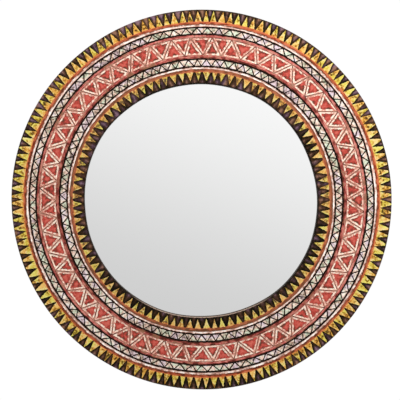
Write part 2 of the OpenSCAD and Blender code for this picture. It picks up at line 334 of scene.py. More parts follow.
def gradient_card():
    """The card behind the camera, which only reflections and light see."""
    bpy.ops.mesh.primitive_plane_add(
        size=CARD_SIZE, location=(0, CARD_Y, 0), rotation=(math.radians(-90), 0, 0)
    )
    card = bpy.context.object
    card.name = "reflected_card"
    card.visible_camera = False
    material, tree = principled("reflected_card")
    tree.nodes.clear()
    x, _, z = coordinates(tree, tree.nodes.new("ShaderNodeNewGeometry").outputs["Position"])
    right, rise = (calc(tree, "DIVIDE", part, CARD_REACH) for part in (x, z))
    slope = total(tree, rise, (right, CARD_LEAN))
    shade = tree.nodes.new("ShaderNodeMapRange")
    shade.interpolation_type = "SMOOTHSTEP"
    feed_all(tree, shade.inputs, Value=slope, From_Min=CARD_FROM, From_Max=CARD_TO)
    feed_all(tree, shade.inputs, To_Min=CARD_DARK, To_Max=CARD_LIGHT)
    light = tree.nodes.new("ShaderNodeEmission")
    feed_all(tree, light.inputs, Strength=shade.outputs["Result"])
    output = tree.nodes.new("ShaderNodeOutputMaterial")
    feed_all(tree, output.inputs, Surface=light.outputs[0])
    card.data.materials.append(material)


gradient_card()
print("card:", CARD_SIZE, "m wide at Y =", CARD_Y)

# %% [markdown]
# One hard lamp would draw black shadows in the cuts, and light from all sides would draw none. Two soft
# lamps light the carving. The stronger one is near, at the upper right, so that the ring too is darker
# at its bottom left. A third lights the back for views from behind.

# %% Lamps


def soft_lamp(name, place, size, power):
    """A square lamp that faces the mirror's centre."""
    lamp = bpy.data.lights.new(name, "AREA")
    lamp.size = size
    lamp.energy = power
    thing = bpy.data.objects.new(name, lamp)
    bpy.context.scene.collection.objects.link(thing)
    thing.location = place
    thing.rotation_euler = (-Vector(place)).to_track_quat("-Z", "Y").to_euler()
    return thing


lamps = [
    soft_lamp("key_lamp", (0.5, -1.0, 1.15), 0.7, 20),
    soft_lamp("fill_lamp", (-1.6, -1.9, 0.9), 1.2, 10),
    soft_lamp("back_lamp", (1.0, 1.8, 1.3), 0.9, 30),
]
print("lamps:", [lamp.name for lamp in lamps])

# %% [markdown]
# ## Shared effects
#
# Several finishes need the same few effects. Their nodes could be laid again in each material, but a node
# group is made once and mended in one place. The first group turns a place on the ring into its radius,
# its angle clockwise from the top and its depth below the carved face. Everything painted on the ring is
# described in those three.

# %% Group: place on the ring
VECTORS = ("Place", "From", "To", "Corner")


def new_group(name, inputs, outputs):
    """An empty shader group, whose sockets are named in two strings, and what goes in and out inside it."""
    group = bpy.data.node_groups.new(name, "ShaderNodeTree")
    for labels, side in ((inputs, "INPUT"), (outputs, "OUTPUT")):
        for label in labels.split():
            kind = "NodeSocketVector" if label in VECTORS else "NodeSocketFloat"
            group.interface.new_socket(name=label, in_out=side, socket_type=kind)
    source = group.nodes.new("NodeGroupInput")
    result = group.nodes.new("NodeGroupOutput")
    return group, source.outputs, result.inputs


def use_group(tree, group, **values):
    """The outputs of a group that is placed in a tree and fed by name."""
    node = tree.nodes.new("ShaderNodeGroup")
    node.node_tree = group
    feed_all(tree, node.inputs, **values)
    return node.outputs


def ring_place_group():
    """A place's radius, its angle clockwise from the top and its depth below the carved face."""
    group, source, result = new_group("ring place", "Place", "Radius Angle Depth")
    x, y, z = coordinates(group, source["Place"])
    square = calc(group, "ADD", calc(group, "MULTIPLY", x, x), calc(group, "MULTIPLY", z, z))
    feed(group, result["Radius"], calc(group, "SQRT", square))
    feed(group, result["Angle"], calc(group, "ARCTAN2", x, z))
    feed(group, result["Depth"], calc(group, "SUBTRACT", y, FRONT_Y))
    return group


RING_PLACE = ring_place_group()
print(RING_PLACE.name, "has", len(RING_PLACE.nodes), "nodes")

# %% [markdown]
# A painted band is a ring between two radii. A picture of it would blur close up, while a soft step at
# each radius stays as crisp as a brush's edge at any size. A little noise that is added to the radius
# beforehand makes the edges waver.

# %% Group: band


def step(tree, value, low, high):
    """A soft step: 0 up to low, 1 from high, and smooth between them."""
    node = tree.nodes.new("ShaderNodeMapRange")
    node.interpolation_type = "SMOOTHSTEP"
    feed_all(tree, node.inputs, Value=value, From_Min=low, From_Max=high)
    return node.outputs["Result"]


def band_group():
    """1 between two radii and 0 beyond them, with soft edges."""
    group, source, result = new_group("band", "Radius Inner Outer Soft", "Mask")
    masks = []
    for edge in ("Inner", "Outer"):
        low, high = (calc(group, way, source[edge], source["Soft"]) for way in ("SUBTRACT", "ADD"))
        masks.append(step(group, source["Radius"], low, high))
    feed(group, result["Mask"], calc(group, "SUBTRACT", *masks))
    return group


BAND = band_group()
print(BAND.name, "has", len(BAND.nodes), "nodes")

# %% [markdown]
# The large red triangles have a white outline that follows their edges. Their corners stray a little,
# as cut by hand, by a formula that the carving uses too: two sines of the corner's number. An outline that
# was found from the mesh would be as coarse as the mesh. So the next groups repeat the formula, find the
# corners near a point, and measure how far the point is from the lines between them. That distance tells
# the outline from the red inside it.

# %% Group: a corner of the zigzag
CORNERS_ROUND = 2 * round(2 * math.pi / RED_PITCH)
HAND_WAVES = ((137.5, 61), (73.1, 149))


def hand(tree, number, around, row):
    """How far cut number strays, between -1 and 1, in a row that closes after a number of cuts."""
    wrapped = calc(tree, "FLOORED_MODULO", number, float(around))
    waves = []
    for turn, shift in HAND_WAVES:
        degrees = total(tree, float(row * shift), (wrapped, turn))
        waves.append(calc(tree, "SINE", calc(tree, "RADIANS", degrees)))
    return calc(tree, "MULTIPLY", calc(tree, "ADD", *waves), 0.5)


def combined(tree, **values):
    """A vector from its coordinates by name; one that isn't given is 0."""
    node = tree.nodes.new("ShaderNodeCombineXYZ")
    feed_all(tree, node.inputs, **values)
    return node.outputs[0]


def corner_group():
    """Where a corner of the zigzag is, by its number: inside for even numbers and outside for odd ones."""
    group, source, result = new_group("zigzag corner", "Number", "Corner")
    number = source["Number"]
    strayed = total(group, number, (hand(group, number, CORNERS_ROUND, RED_ROW), 2 * STRAY))
    angle = calc(group, "MULTIPLY", strayed, RED_PITCH / 2)
    odd = calc(group, "FLOORED_MODULO", number, 2.0)
    inner, outer = BANDS["red_zigzag"]
    radius = total(group, inner, (odd, outer - inner))
    x, z = (calc(group, "MULTIPLY", radius, calc(group, wave, angle)) for wave in ("SINE", "COSINE"))
    feed(group, result["Corner"], combined(group, X=x, Z=z))
    return group


ZIGZAG_CORNER = corner_group()
print("corners in the zigzag:", CORNERS_ROUND)

# %% [markdown]
# An edge of a large triangle is a straight cut from one corner to another. So this effect finds the
# nearest place on the line between two corners, and never past its ends, and gives the distance to that
# place. A line without ends would take fewer nodes, but its outline would run on past the tip of the
# triangle.

# %% Group: distance to a line between two corners


def vector_calc(tree, operation, *values, out=0):
    """One vector math node: its operation on outputs."""
    node = tree.nodes.new("ShaderNodeVectorMath")
    node.operation = operation
    for socket, value in zip(node.inputs, values):
        feed(tree, socket, value)
    return node.outputs[out]


def scaled(tree, vector, factor):
    """A vector times a number."""
    node = tree.nodes.new("ShaderNodeVectorMath")
    node.operation = "SCALE"
    feed_all(tree, node.inputs, Vector=vector, Scale=factor)
    return node.outputs[0]


def line_distance_group():
    """How far a place is from the line between two others."""
    group, source, result = new_group("line distance", "Place From To", "Distance")
    along = vector_calc(group, "SUBTRACT", source["To"], source["From"])
    away = vector_calc(group, "SUBTRACT", source["Place"], source["From"])
    reach = vector_calc(group, "DOT_PRODUCT", along, along, out="Value")
    share = calc(group, "DIVIDE", vector_calc(group, "DOT_PRODUCT", away, along, out="Value"), reach)
    share = calc(group, "MINIMUM", calc(group, "MAXIMUM", share, 0.0), 1.0)
    gap = vector_calc(group, "SUBTRACT", away, scaled(group, along, share))
    feed(group, result["Distance"], vector_calc(group, "LENGTH", gap, out="Value"))
    return group


LINE_DISTANCE = line_distance_group()
print(LINE_DISTANCE.name, "has", len(LINE_DISTANCE.nodes), "nodes")

# %% [markdown]
# What counts is the least distance to any of these lines. Testing every edge of the ring would take
# hundreds of nodes. An edge further off than the neighbouring corners is never the nearest, so the five
# corners around a place and the seven lines between them are enough.

# %% Group: distance to the nearest edge of a red triangle


def edge_distance_group():
    """How far a place is from the nearest edge of the large triangles."""
    group, source, result = new_group("triangle edge", "Place Angle", "Distance")
    x, _, z = coordinates(group, source["Place"])
    flat = combined(group, X=x, Z=z)
    nearest = calc(group, "ROUND", calc(group, "DIVIDE", source["Angle"], RED_PITCH / 2))
    corners = []
    for offset in (-2, -1, 0, 1, 2):
        number = calc(group, "ADD", nearest, float(offset))
        corners.append(use_group(group, ZIGZAG_CORNER, Number=number)["Corner"])
    least = None
    for start, end in [(0, 1), (1, 2), (2, 3), (3, 4), (0, 2), (1, 3), (2, 4)]:
        line = {"From": corners[start], "To": corners[end]}
        gap = use_group(group, LINE_DISTANCE, Place=flat, **line)["Distance"]
        least = gap if least is None else calc(group, "MINIMUM", least, gap)
    feed(group, result["Distance"], least)
    return group


TRIANGLE_EDGE = edge_distance_group()
print(TRIANGLE_EDGE.name, "has", len(TRIANGLE_EDGE.nodes), "nodes")

# %% [markdown]
# The points stray by the same formula. The yellow could follow the depth of the cut alone, but real paint
# runs over an edge or stops short of it. So this effect finds the point whose sector a place lies in, and
# says how far inside its two long edges the place is, in metres and less than zero outside, and how far
# it has come from the base, at 0, to the tip, at 1.

# %% Groups: outline of the points


def opposite(tree, value):
    """1 less a value."""
    return calc(tree, "SUBTRACT", 1.0, value)


def point_group(name):
    """How far a place is inside the long edges of its point, and how far on the way to the tip."""
    row = POINT_ROWS[name]
    pitch = BOARD_ANGLE / row["count"]
    around = row["count"] * BOARDS
    base, tip = BANDS[name] if name.startswith("outer") else reversed(BANDS[name])
    group, source, result = new_group(name + " outline", "Radius Angle", "Inside Reach")

    def strayed(start, number, hand_row):
        return total(group, start, (hand(group, number, around, hand_row), STRAY))

    turn = calc(group, "DIVIDE", source["Angle"], pitch)
    nearest = calc(group, "ROUND", turn)
    border = strayed(nearest, nearest, row["row"])
    number = calc(group, "SUBTRACT", nearest, calc(group, "LESS_THAN", turn, border))
    follower = calc(group, "ADD", number, 1.0)
    half_gap = row["gap"] / base / pitch / 2
    left = strayed(calc(group, "ADD", number, half_gap), number, row["row"])
    right = strayed(calc(group, "SUBTRACT", follower, half_gap), follower, row["row"])
    lean = strayed(0.5, number, row["row"] + 1)
    reach = calc(group, "DIVIDE", calc(group, "SUBTRACT", source["Radius"], base), tip - base)
    taken = calc(group, "MULTIPLY", calc(group, "SUBTRACT", right, left), reach)
    from_left = calc(group, "SUBTRACT", turn, total(group, left, (lean, taken)))
    taken_right = calc(group, "MULTIPLY", opposite(group, lean), taken)
    to_right = calc(group, "SUBTRACT", calc(group, "SUBTRACT", right, turn), taken_right)
    inside = calc(group, "MULTIPLY", calc(group, "MINIMUM", from_left, to_right), pitch)
    feed(group, result["Inside"], calc(group, "MULTIPLY", inside, source["Radius"]))
    feed(group, result["Reach"], reach)
    return group


POINT_OUTLINES = {name: point_group(name) for name in POINT_ROWS}
print("outlines:", list(POINT_OUTLINES))

# %% [markdown]
# Wood grain runs along each board. One pattern of streaks over the whole ring would run through the
# joints, as it does on no glued ring. So the group first finds the board that a point is on and turns the
# point into that board's own directions. It then draws long thin streaks, and says how far the point is
# along the board, which the plane's marks need.

# %% Group: grain along the boards
BOARD_APART = 0.37


def noise(tree, vector, scale, detail=2.0, roughness=0.5, stretch=None):
    """Noise over a place, from 0 to 1; stretch scales the place along X, Y and Z first."""
    if stretch:
        mapping = tree.nodes.new("ShaderNodeMapping")
        feed_all(tree, mapping.inputs, Scale=stretch, Vector=vector)
        vector = mapping.outputs[0]
    node = tree.nodes.new("ShaderNodeTexNoise")
    feed_all(tree, node.inputs, Vector=vector, Scale=scale, Detail=detail, Roughness=roughness)
    return node.outputs["Fac"]


def board_grain_group():
    """Streaks and pores along each board, the place along it, and how far its joint is, in boards."""
    group, source, result = new_group("board grain", "Place Angle", "Streak Pores Along Joint")
    turns = calc(group, "DIVIDE", source["Angle"], BOARD_ANGLE)
    board = calc(group, "ROUND", turns)
    turn = group.nodes.new("ShaderNodeVectorRotate")
    turn.rotation_type = "Y_AXIS"
    back = calc(group, "MULTIPLY", board, -BOARD_ANGLE)
    feed_all(group, turn.inputs, Vector=source["Place"], Angle=back)
    apart = combined(group, Y=calc(group, "MULTIPLY", board, BOARD_APART))
    moved = vector_calc(group, "ADD", turn.outputs[0], apart)
    broad = calc(group, "MULTIPLY", noise(group, moved, 9.0, 3.0, 0.6, stretch=(1.2, 14, 14)), 0.6)
    thin = calc(group, "MULTIPLY", noise(group, moved, 40.0, 2.0, 0.6, stretch=(0.5, 12, 12)), 0.4)
    feed(group, result["Streak"], calc(group, "ADD", broad, thin))
    feed(group, result["Pores"], noise(group, moved, 150.0, 3.0, 0.6, stretch=(0.35, 12, 12)))
    feed(group, result["Along"], coordinates(group, turn.outputs[0])["X"])
    aside = calc(group, "ABSOLUTE", calc(group, "SUBTRACT", turns, board))
    feed(group, result["Joint"], calc(group, "SUBTRACT", 0.5, aside))
    return group


BOARD_GRAIN = board_grain_group()
print(BOARD_GRAIN.name, "has", len(BOARD_GRAIN.nodes), "nodes")

# %% [markdown]
# Hand-laid paint is never one tone. A painted picture of it would repeat or blur, and noise does neither.
# The dabs group gives two patterns, one as wide as a brush and one as fine as the pores of the wood, both
# from 0 to 1 and spread out so that their middle is rare. The streaks group draws a third, long and thin,
# that runs round the ring as the brush did.

# %% Groups: dabs and streaks of paint
MIDDLE_R = (RIM_R + OPENING_R) / 2
SPREAD = (0.36, 0.64)
SHARPER_SPREAD = (0.38, 0.62)


def dabs_group():
    """A broad and a fine pattern of noise, in dabs of a size."""
    group, source, result = new_group("dabs", "Place Size", "Broad Fine")
    place = scaled(group, source["Place"], calc(group, "DIVIDE", 1.0, source["Size"]))
    feed(group, result["Broad"], step(group, noise(group, place, 1.0, 2.0), *SPREAD))
    feed(group, result["Fine"], step(group, noise(group, place, 4.3, 3.0, 0.65), *SHARPER_SPREAD))
    return group


def streaks_group():
    """Streaks of a length and a width that run round the ring."""
    group, source, result = new_group("streaks", "Place Radius Length Width", "Streak")
    x, _, z = coordinates(group, source["Place"])
    lengths = calc(group, "DIVIDE", MIDDLE_R, source["Length"])
    turns = [calc(group, "DIVIDE", part, source["Radius"]) for part in (x, z)]
    x, z = (calc(group, "MULTIPLY", part, lengths) for part in turns)
    widths = calc(group, "DIVIDE", source["Radius"], source["Width"])
    streak = noise(group, combined(group, X=x, Y=widths, Z=z), 1.0, 2.0)
    feed(group, result["Streak"], step(group, streak, *SPREAD))
    return group


DABS = dabs_group()
STREAKS = streaks_group()
print("groups so far:", len(bpy.data.node_groups))

# %% [markdown]
# ## The painted ring
#
# The whole front is one material. A material for each band would need the mesh cut along every painted
# edge, and no paint could stray over it. Each paint below is a small function that returns a colour: it
# adds up where a point lies across its band, how deep it is cut and what the dabs and streaks say there,
# and runs the sum through a few tones. Only the brush sizes are shared, so they are made once and passed
# on. The ring is painted a little lighter towards its upper right and darker at its lower left: painted
# light, as from a lamp on that side, together with paint that has aged more there.

# %% Brushes and wear
WIDE_DAB = 7 * MM
SMALL_DAB = 3.2 * MM
STREAK_LENGTH = 9 * MM
STREAK_WIDTH = 1.3 * MM
TINT_SIZE = 11 * MM
REGION = 60 * MM
# The side that is painted lighter, as painted light, with less aged paint: the upper right.
LIGHT_AND_AGE_SIDE = math.radians(35)


def brushes(tree, place, radius):
    """The patterns that the paints draw on, from 0 to 1, by name.

    Three go from -1 to 1: the height, how far a place lies towards the upper right, which is painted lighter
    as painted light and less aged, and how much more it lies to the left or right than up or down.
    """
    x, _, z = coordinates(tree, place)
    right, height = (calc(tree, "DIVIDE", part, RIM_R) for part in (x, z))
    wide = use_group(tree, DABS, Place=place, Size=WIDE_DAB)
    small = use_group(tree, DABS, Place=place, Size=SMALL_DAB)
    size = {"Length": STREAK_LENGTH, "Width": STREAK_WIDTH}
    return {
        "patch": wide["Broad"],
        "dab": small["Broad"],
        "fleck": small["Fine"],
        "streak": use_group(tree, STREAKS, Place=place, Radius=radius, **size)["Streak"],
        "tint": step(tree, noise(tree, place, 1 / TINT_SIZE, 1.0), *SPREAD),
        "wear": step(tree, noise(tree, place, 1 / REGION, 1.0), *SHARPER_SPREAD),
        "height": height,
        # Towards the upper right: painted light, and paint that has aged less there.
        "fresh": total(tree, 0.0, (right, math.sin(LIGHT_AND_AGE_SIDE)), (height, math.cos(LIGHT_AND_AGE_SIDE))),
        "sideways": calc(tree, "SUBTRACT", *(calc(tree, "POWER", part, 2.0) for part in (right, height))),
    }


def brushed(tree, brush, start, **weights):
    """A number, or an output, plus patterns of the brush by name, each with its weight."""
    return total(tree, start, *((brush[name], weight) for name, weight in weights.items()))


print("dabs of", in_mm(SMALL_DAB), "and", in_mm(WIDE_DAB), "mm, streaks of", in_mm(STREAK_LENGTH), "mm")

# %% [markdown]
# The dark ground shows between the points as wedges: olive black where a wedge is narrow, beside the
# yellow, and a rubbed purple brown in its open end. One brown with noise would lose that, so the tone
# starts from the distance to the nearest point. The ground is painted darker towards the bottom of the
# ring, and its tint wanders between rust and violet. `ramp` runs a sum through tones and `mix` lays one
# colour over another, here and in every paint that follows.

# %% The dark ground
GROUND_BLACK = rgb(17, 11, 1)
GROUND_BROWN = rgb(50, 36, 17)
GROUND_PURPLE = rgb(82, 62, 64)
GROUND_WORN = rgb(140, 116, 112)
GROUND_RUST = rgb(255, 224, 178)
GROUND_VIOLET = rgb(228, 214, 255)
WEDGE = 3.6 * MM


def mix(tree, share, low, high, blend="MIX"):
    """A colour between two: low where share is 0, and high, or both blended, where it is 1."""
    node = tree.nodes.new("ShaderNodeMix")
    node.data_type = "RGBA"
    node.blend_type = blend
    feed(tree, node.inputs[0], share)
    feed(tree, node.inputs[6], low)
    feed(tree, node.inputs[7], high)
    return node.outputs[2]


def ramp(tree, value, *stops):
    """A colour that runs through stops, each a place from 0 to 1 and a colour."""
    node = tree.nodes.new("ShaderNodeValToRGB")
    elements = node.color_ramp.elements
    while len(elements) < len(stops):
        elements.new(0.5)
    for element, (place, colour) in zip(elements, stops):
        element.position = place
        element.color = colour
    feed(tree, node.inputs["Fac"], value)
    return node.outputs["Color"]


def ground_paint(tree, outside, brush, rubbed=0.75):
    """Black-brown paint, by the distance from the nearest point; rubbed says how far the wear goes."""
    tone = calc(tree, "MULTIPLY", calc(tree, "DIVIDE", outside, WEDGE), rubbed)
    tone = brushed(tree, brush, tone, fleck=0.3, patch=0.4, wear=0.25)
    # The ground is painted darker towards the bottom of the ring.
    low = calc(tree, "MINIMUM", brush["height"], 0.0)
    tone = total(tree, calc(tree, "SUBTRACT", tone, 0.4), (low, 0.25))
    paint = ramp(
        tree, tone, (0.05, GROUND_BLACK), (0.35, GROUND_BROWN), (0.75, GROUND_PURPLE), (1.0, GROUND_WORN)
    )
    tint = ramp(tree, brush["tint"], (0.2, GROUND_RUST), (1.0, GROUND_VIOLET))
    return mix(tree, 0.9, paint, tint, blend="MULTIPLY")


report_tones("the ground", GROUND_BLACK, GROUND_WORN)

# %% [markdown]
# A point is yellow, here warmer, there more like a lemon. Deeper in its cut the yellow is darker, towards
# ochre, as painted shade, so its shallow tip is palest. It has also gathered ochre and olive in spots, and
# orange has run into its foot. Depth alone would shade all points alike, so the spots come from two
# patterns multiplied, which makes them few and separate.

# %% Yellow points
YELLOW_PALE = rgb(248, 228, 170)
YELLOW = rgb(232, 200, 112)
YELLOW_DEEP = rgb(212, 168, 76)
OCHRE = rgb(164, 124, 52)
OLIVE = rgb(84, 62, 24)
POINT_FOOT = rgb(226, 124, 62)
YELLOW_WARM = rgb(255, 226, 180)
YELLOW_PLAIN = rgb(255, 255, 255)
YELLOW_LIME = rgb(240, 255, 170)
DULL_OLIVE = rgb(134, 134, 116)
FOOT_REACH = 0.22


def point_paint(tree, depth, reach, dullness, brush):
    """Yellow, with painted shade deeper in the cut, by the share of the way from its base to its tip."""
    # Painted shade: the deeper the cut, the darker the yellow.
    share = calc(tree, "DIVIDE", depth, POINT_DEPTH)
    spots = calc(tree, "MULTIPLY", brush["dab"], brush["patch"])
    tone = total(tree, -0.25, (share, 0.28), (spots, 0.95))
    tone = brushed(tree, brush, tone, fleck=0.38, wear=0.14)
    light = ((0.0, YELLOW_PALE), (0.2, YELLOW), (0.42, YELLOW_DEEP))
    paint = ramp(tree, tone, *light, (0.68, OCHRE), (0.95, OLIVE))
    tint = ramp(tree, brush["tint"], (0.1, YELLOW_WARM), (0.5, YELLOW_PLAIN), (0.9, YELLOW_LIME))
    paint = mix(tree, 0.8, paint, tint, blend="MULTIPLY")
    paint = mix(tree, dullness, paint, DULL_OLIVE)
    foot = opposite(tree, step(tree, reach, 0.0, FOOT_REACH))
    foot = calc(tree, "MULTIPLY", foot, brushed(tree, brush, 0.15, dab=0.5))
    return mix(tree, foot, paint, POINT_FOOT)


report_tones("yellow", YELLOW_PALE, OLIVE)

# %% [markdown]
# The narrow orange band lies between the points and the white groove. It is bright beside the points and
# turns to rust, and to brown as painted shade, towards the groove's edge. Long streaks along the ring show
# how the brush went, so they take the place of the small dabs here.

# %% Orange bands
ORANGE = rgb(212, 113, 77)
RED_ORANGE = rgb(176, 76, 44)
RUST = rgb(134, 52, 26)
RUST_BROWN = rgb(80, 38, 20)
DULL_BROWN = rgb(128, 92, 64)


def orange_paint(tree, share, dullness, brush):
    """Orange at the points, rust towards the groove, painted shade at its edge; share is 1 at the points."""
    # Painted shade: the tone falls to brown at the groove's edge, over rustier paint.
    tone = total(tree, -0.55, (share, 0.75))
    # Lighter towards the upper right: painted light.
    tone = brushed(tree, brush, tone, streak=0.6, patch=0.6, fresh=0.2)
    paint = ramp(tree, tone, (0.0, RUST_BROWN), (0.25, RUST), (0.6, RED_ORANGE), (1.0, ORANGE))
    dull = brushed(tree, brush, dullness, wear=0.14, patch=0.12)
    return mix(tree, dull, paint, DULL_BROWN)


report_tones("orange", ORANGE, RUST_BROWN)

# %% [markdown]
# The white grooves are brightest along their middle and darker towards their sloping sides, as painted
# shade. Streaks of pink and brown cross them where the white has rubbed off, so the tone starts from the
# distance to the middle.

# %% White grooves
WHITE = rgb(255, 252, 246)
WHITE_WARM = rgb(240, 216, 202)
WHITE_PINK = rgb(206, 158, 142)
WHITE_BROWN = rgb(126, 92, 78)


def groove_paint(tree, share, brush):
    """White, by the share of the way across the groove, with painted shade towards its sides."""
    # Painted shade: the further from the groove's middle, the darker.
    side = calc(tree, "ABSOLUTE", calc(tree, "SUBTRACT", share, 0.5))
    tone = brushed(tree, brush, total(tree, -0.32, (side, 1.1)), streak=0.5, dab=0.25, patch=0.45)
    return ramp(tree, tone, (0.05, WHITE), (0.35, WHITE_WARM), (0.7, WHITE_PINK), (1.0, WHITE_BROWN))


report_tones("groove white", WHITE, WHITE_BROWN)

# %% [markdown]
# The small triangles are chalk white in a black net. The net could be bands of black on the wood between
# the cuts, but there it is only a hair wide. On the real ring the black runs a little way down each chip,
# so the depth decides, and the lines look wider than the wood. The white is tinted lilac, green or rose.

# %% Small white triangles
LINE_BLACK = rgb(26, 13, 6)
CHALK = rgb(255, 252, 242)
CHALK_WARM = rgb(234, 218, 203)
CHALK_DULL = rgb(180, 164, 148)
CHALK_DARK = rgb(104, 90, 74)
LILAC = rgb(222, 205, 230)
CELADON = rgb(206, 226, 208)
ROSE = rgb(246, 204, 196)
NET_FROM = 0.02 * MM
NET_TO = 0.1 * MM
NET_WAVER = 0.1 * MM


def chalk_paint(tree, depth, brush):
    """A white chip in its black net, by its depth."""
    tone = brushed(tree, brush, -0.33, patch=0.3, dab=0.55, fleck=0.35, wear=0.25)
    paint = ramp(tree, tone, (0.1, CHALK), (0.4, CHALK_WARM), (0.7, CHALK_DULL), (1.0, CHALK_DARK))
    tint = ramp(tree, brush["tint"], (0.0, LILAC), (0.35, CHALK), (0.65, ROSE), (1.0, CELADON))
    depth = brushed(tree, brush, depth, dab=-NET_WAVER)
    chip = mix(tree, 0.8, paint, tint, blend="MULTIPLY")
    return mix(tree, step(tree, depth, NET_FROM, NET_TO), LINE_BLACK, chip)


report_tones("chalk", CHALK, CHALK_DARK)

# %% [markdown]
# Two narrow red borders frame the large triangles. They are rose where the paint is thick and maroon
# towards the black line, and the ground shows through in patches of olive. The outer border is a little
# lighter than the inner one, so its lightness is given with each use.

# %% Red borders
BORDER_MAROON = rgb(84, 36, 26)
BORDER_DEEP = rgb(142, 64, 56)
BORDER_RED = rgb(184, 90, 82)
BORDER_ROSE = rgb(226, 146, 134)
BORDER_OLIVE = rgb(128, 92, 64)


def border_paint(tree, line_side, lightness, brush):
    """Rose red, maroon towards the black line, with olive where the ground shows."""
    tone = brushed(tree, brush, lightness, streak=0.6, patch=0.6)
    # Lighter towards the upper right: painted light.
    tone = brushed(tree, brush, total(tree, tone, (line_side, -0.35)), fresh=0.14)
    paint = ramp(
        tree, tone, (0.0, BORDER_MAROON), (0.25, BORDER_DEEP), (0.55, BORDER_RED), (0.95, BORDER_ROSE)
    )
    olive = step(tree, brush["patch"], 0.55, 0.95)
    olive = calc(tree, "MULTIPLY", olive, brushed(tree, brush, 0.2, wear=0.6))
    return mix(tree, olive, paint, BORDER_OLIVE)


report_tones("border red", BORDER_ROSE, BORDER_MAROON)

# %% [markdown]
# A large triangle is a red field in a cream outline, with a ridge of bare and painted wood between two
# outlines. The field is dull beside its outline and bright in the middle, so its tone starts from the
# distance to the outline. The outline is broken: in places it has worn to rose or gone.

# %% Large red triangles with their cream outlines
FIELD_BROWN = rgb(104, 62, 46)
FIELD_MAROON = rgb(140, 60, 50)
FIELD_RED = rgb(184, 68, 58)
FIELD_LIGHT = rgb(206, 102, 88)
CREAM = rgb(255, 236, 216)
CREAM_ROSE = rgb(246, 202, 182)
OUTLINE_ROSE = rgb(214, 142, 124)
OUTLINE_RUBBED = rgb(150, 88, 74)
RIDGE_DARK = rgb(86, 44, 36)
RIDGE_MAROON = rgb(130, 68, 58)
RIDGE_OLIVE = rgb(152, 114, 92)
RIDGE_PALE = rgb(206, 158, 140)
FIELD_REACH = 4.8 * MM


def field_paint(tree, inside, brush):
    """Red, by the distance from the outline."""
    share = calc(tree, "DIVIDE", inside, FIELD_REACH)
    tone = brushed(tree, brush, total(tree, -0.28, (share, 0.85)), dab=0.35, patch=0.5, wear=-0.15)
    return ramp(tree, tone, (0.0, FIELD_BROWN), (0.22, FIELD_MAROON), (0.5, FIELD_RED), (1.0, FIELD_LIGHT))


def outline_paint(tree, brush):
    """Cream, rubbed to rose in places."""
    tone = brushed(tree, brush, -0.3, dab=0.55, fleck=0.2, patch=0.45, wear=0.2)
    return ramp(tree, tone, (0.1, CREAM), (0.36, CREAM_ROSE), (0.66, OUTLINE_ROSE), (1.0, OUTLINE_RUBBED))


def ridge_paint(tree, brush):
    """The wood between two outlines, which catches every colour."""
    tone = brushed(tree, brush, 0.0, dab=0.5, patch=0.3, fleck=0.2)
    return ramp(tree, tone, (0.1, RIDGE_DARK), (0.4, RIDGE_MAROON), (0.7, RIDGE_OLIVE), (1.0, RIDGE_PALE))


report_tones("field red", FIELD_LIGHT, FIELD_BROWN)
report_tones("cream", CREAM, OUTLINE_RUBBED)

# %% [markdown]
# The paints are laid over one another as the painter did: the dark ground first, then the points, the
# bands and the large triangles, and the black lines last. A dab of noise shifts every edge a little, so
# that no line is drawn with a compass. The outer yellow runs over the edge of its cuts, most of all at the
# left and right of the ring, and the inner yellow stops short of it.

# %% Points over the ground
BRUSH_EDGE = 0.15 * MM
EDGE_SHIFT = 0.5 * MM
POINTS_LAP = 1.6 * MM
OVERRUN = {"outer_points": 0.1 * MM, "inner_points": -0.4 * MM}
SIDE_GROWTH = {"outer_points": 0.65 * MM, "inner_points": 0.1 * MM}
BLUNT_TIP = {"outer_points": 0.35 * MM, "inner_points": 0.0}
RUBBED = {"outer_points": 0.75, "inner_points": 0.5}
POINT_DULLNESS = {"outer_points": 0.02, "inner_points": 0.15}


def band(tree, radius, name, grow_in=0.0, grow_out=0.0):
    """The mask of a named band, which may reach past its inner and outer edge or stop short of them."""
    inner, outer = BANDS[name]
    edges = {"Inner": inner - grow_in, "Outer": outer + grow_out}
    return use_group(tree, BAND, Radius=radius, Soft=BRUSH_EDGE, **edges)["Mask"]


def shifted(tree, value, brush):
    """A length that a dab makes a little longer or shorter."""
    return brushed(tree, brush, calc(tree, "SUBTRACT", value, EDGE_SHIFT / 2), dab=EDGE_SHIFT)


def paint_points(tree, colour, name, radius, angle, depth, brush):
    """The ground and the points of one row, laid over a colour."""
    outline = use_group(tree, POINT_OUTLINES[name], Radius=radius, Angle=angle)
    inside, reach = outline["Inside"], outline["Reach"]
    swell = total(tree, OVERRUN[name], (calc(tree, "MAXIMUM", reach, 0.0), BLUNT_TIP[name]))
    swell = brushed(tree, brush, swell, sideways=SIDE_GROWTH[name])
    inside = shifted(tree, calc(tree, "ADD", inside, swell), brush)
    outside = calc(tree, "MULTIPLY", calc(tree, "MINIMUM", inside, 0.0), -1.0)
    ground = ground_paint(tree, outside, brush, RUBBED[name])
    points = point_paint(tree, depth, reach, POINT_DULLNESS[name], brush)
    paint = mix(tree, step(tree, inside, -0.1 * MM, 0.15 * MM), ground, points)
    return mix(tree, band(tree, radius, name, POINTS_LAP, POINTS_LAP), colour, paint)


print("paint past the points, in mm:", {name: in_mm(length) for name, length in OVERRUN.items()})

# %% [markdown]
# Next come the bands between the rows. Each could have its own function, but two of a kind differ in
# numbers alone: how far the paint reaches past its band, and how dull or light it is. So those numbers
# are kept by name, and one loop lays each kind of paint. The carving is the same on both sides of the
# large triangles, so a place across a band can be counted outwards, or away from the large triangles.

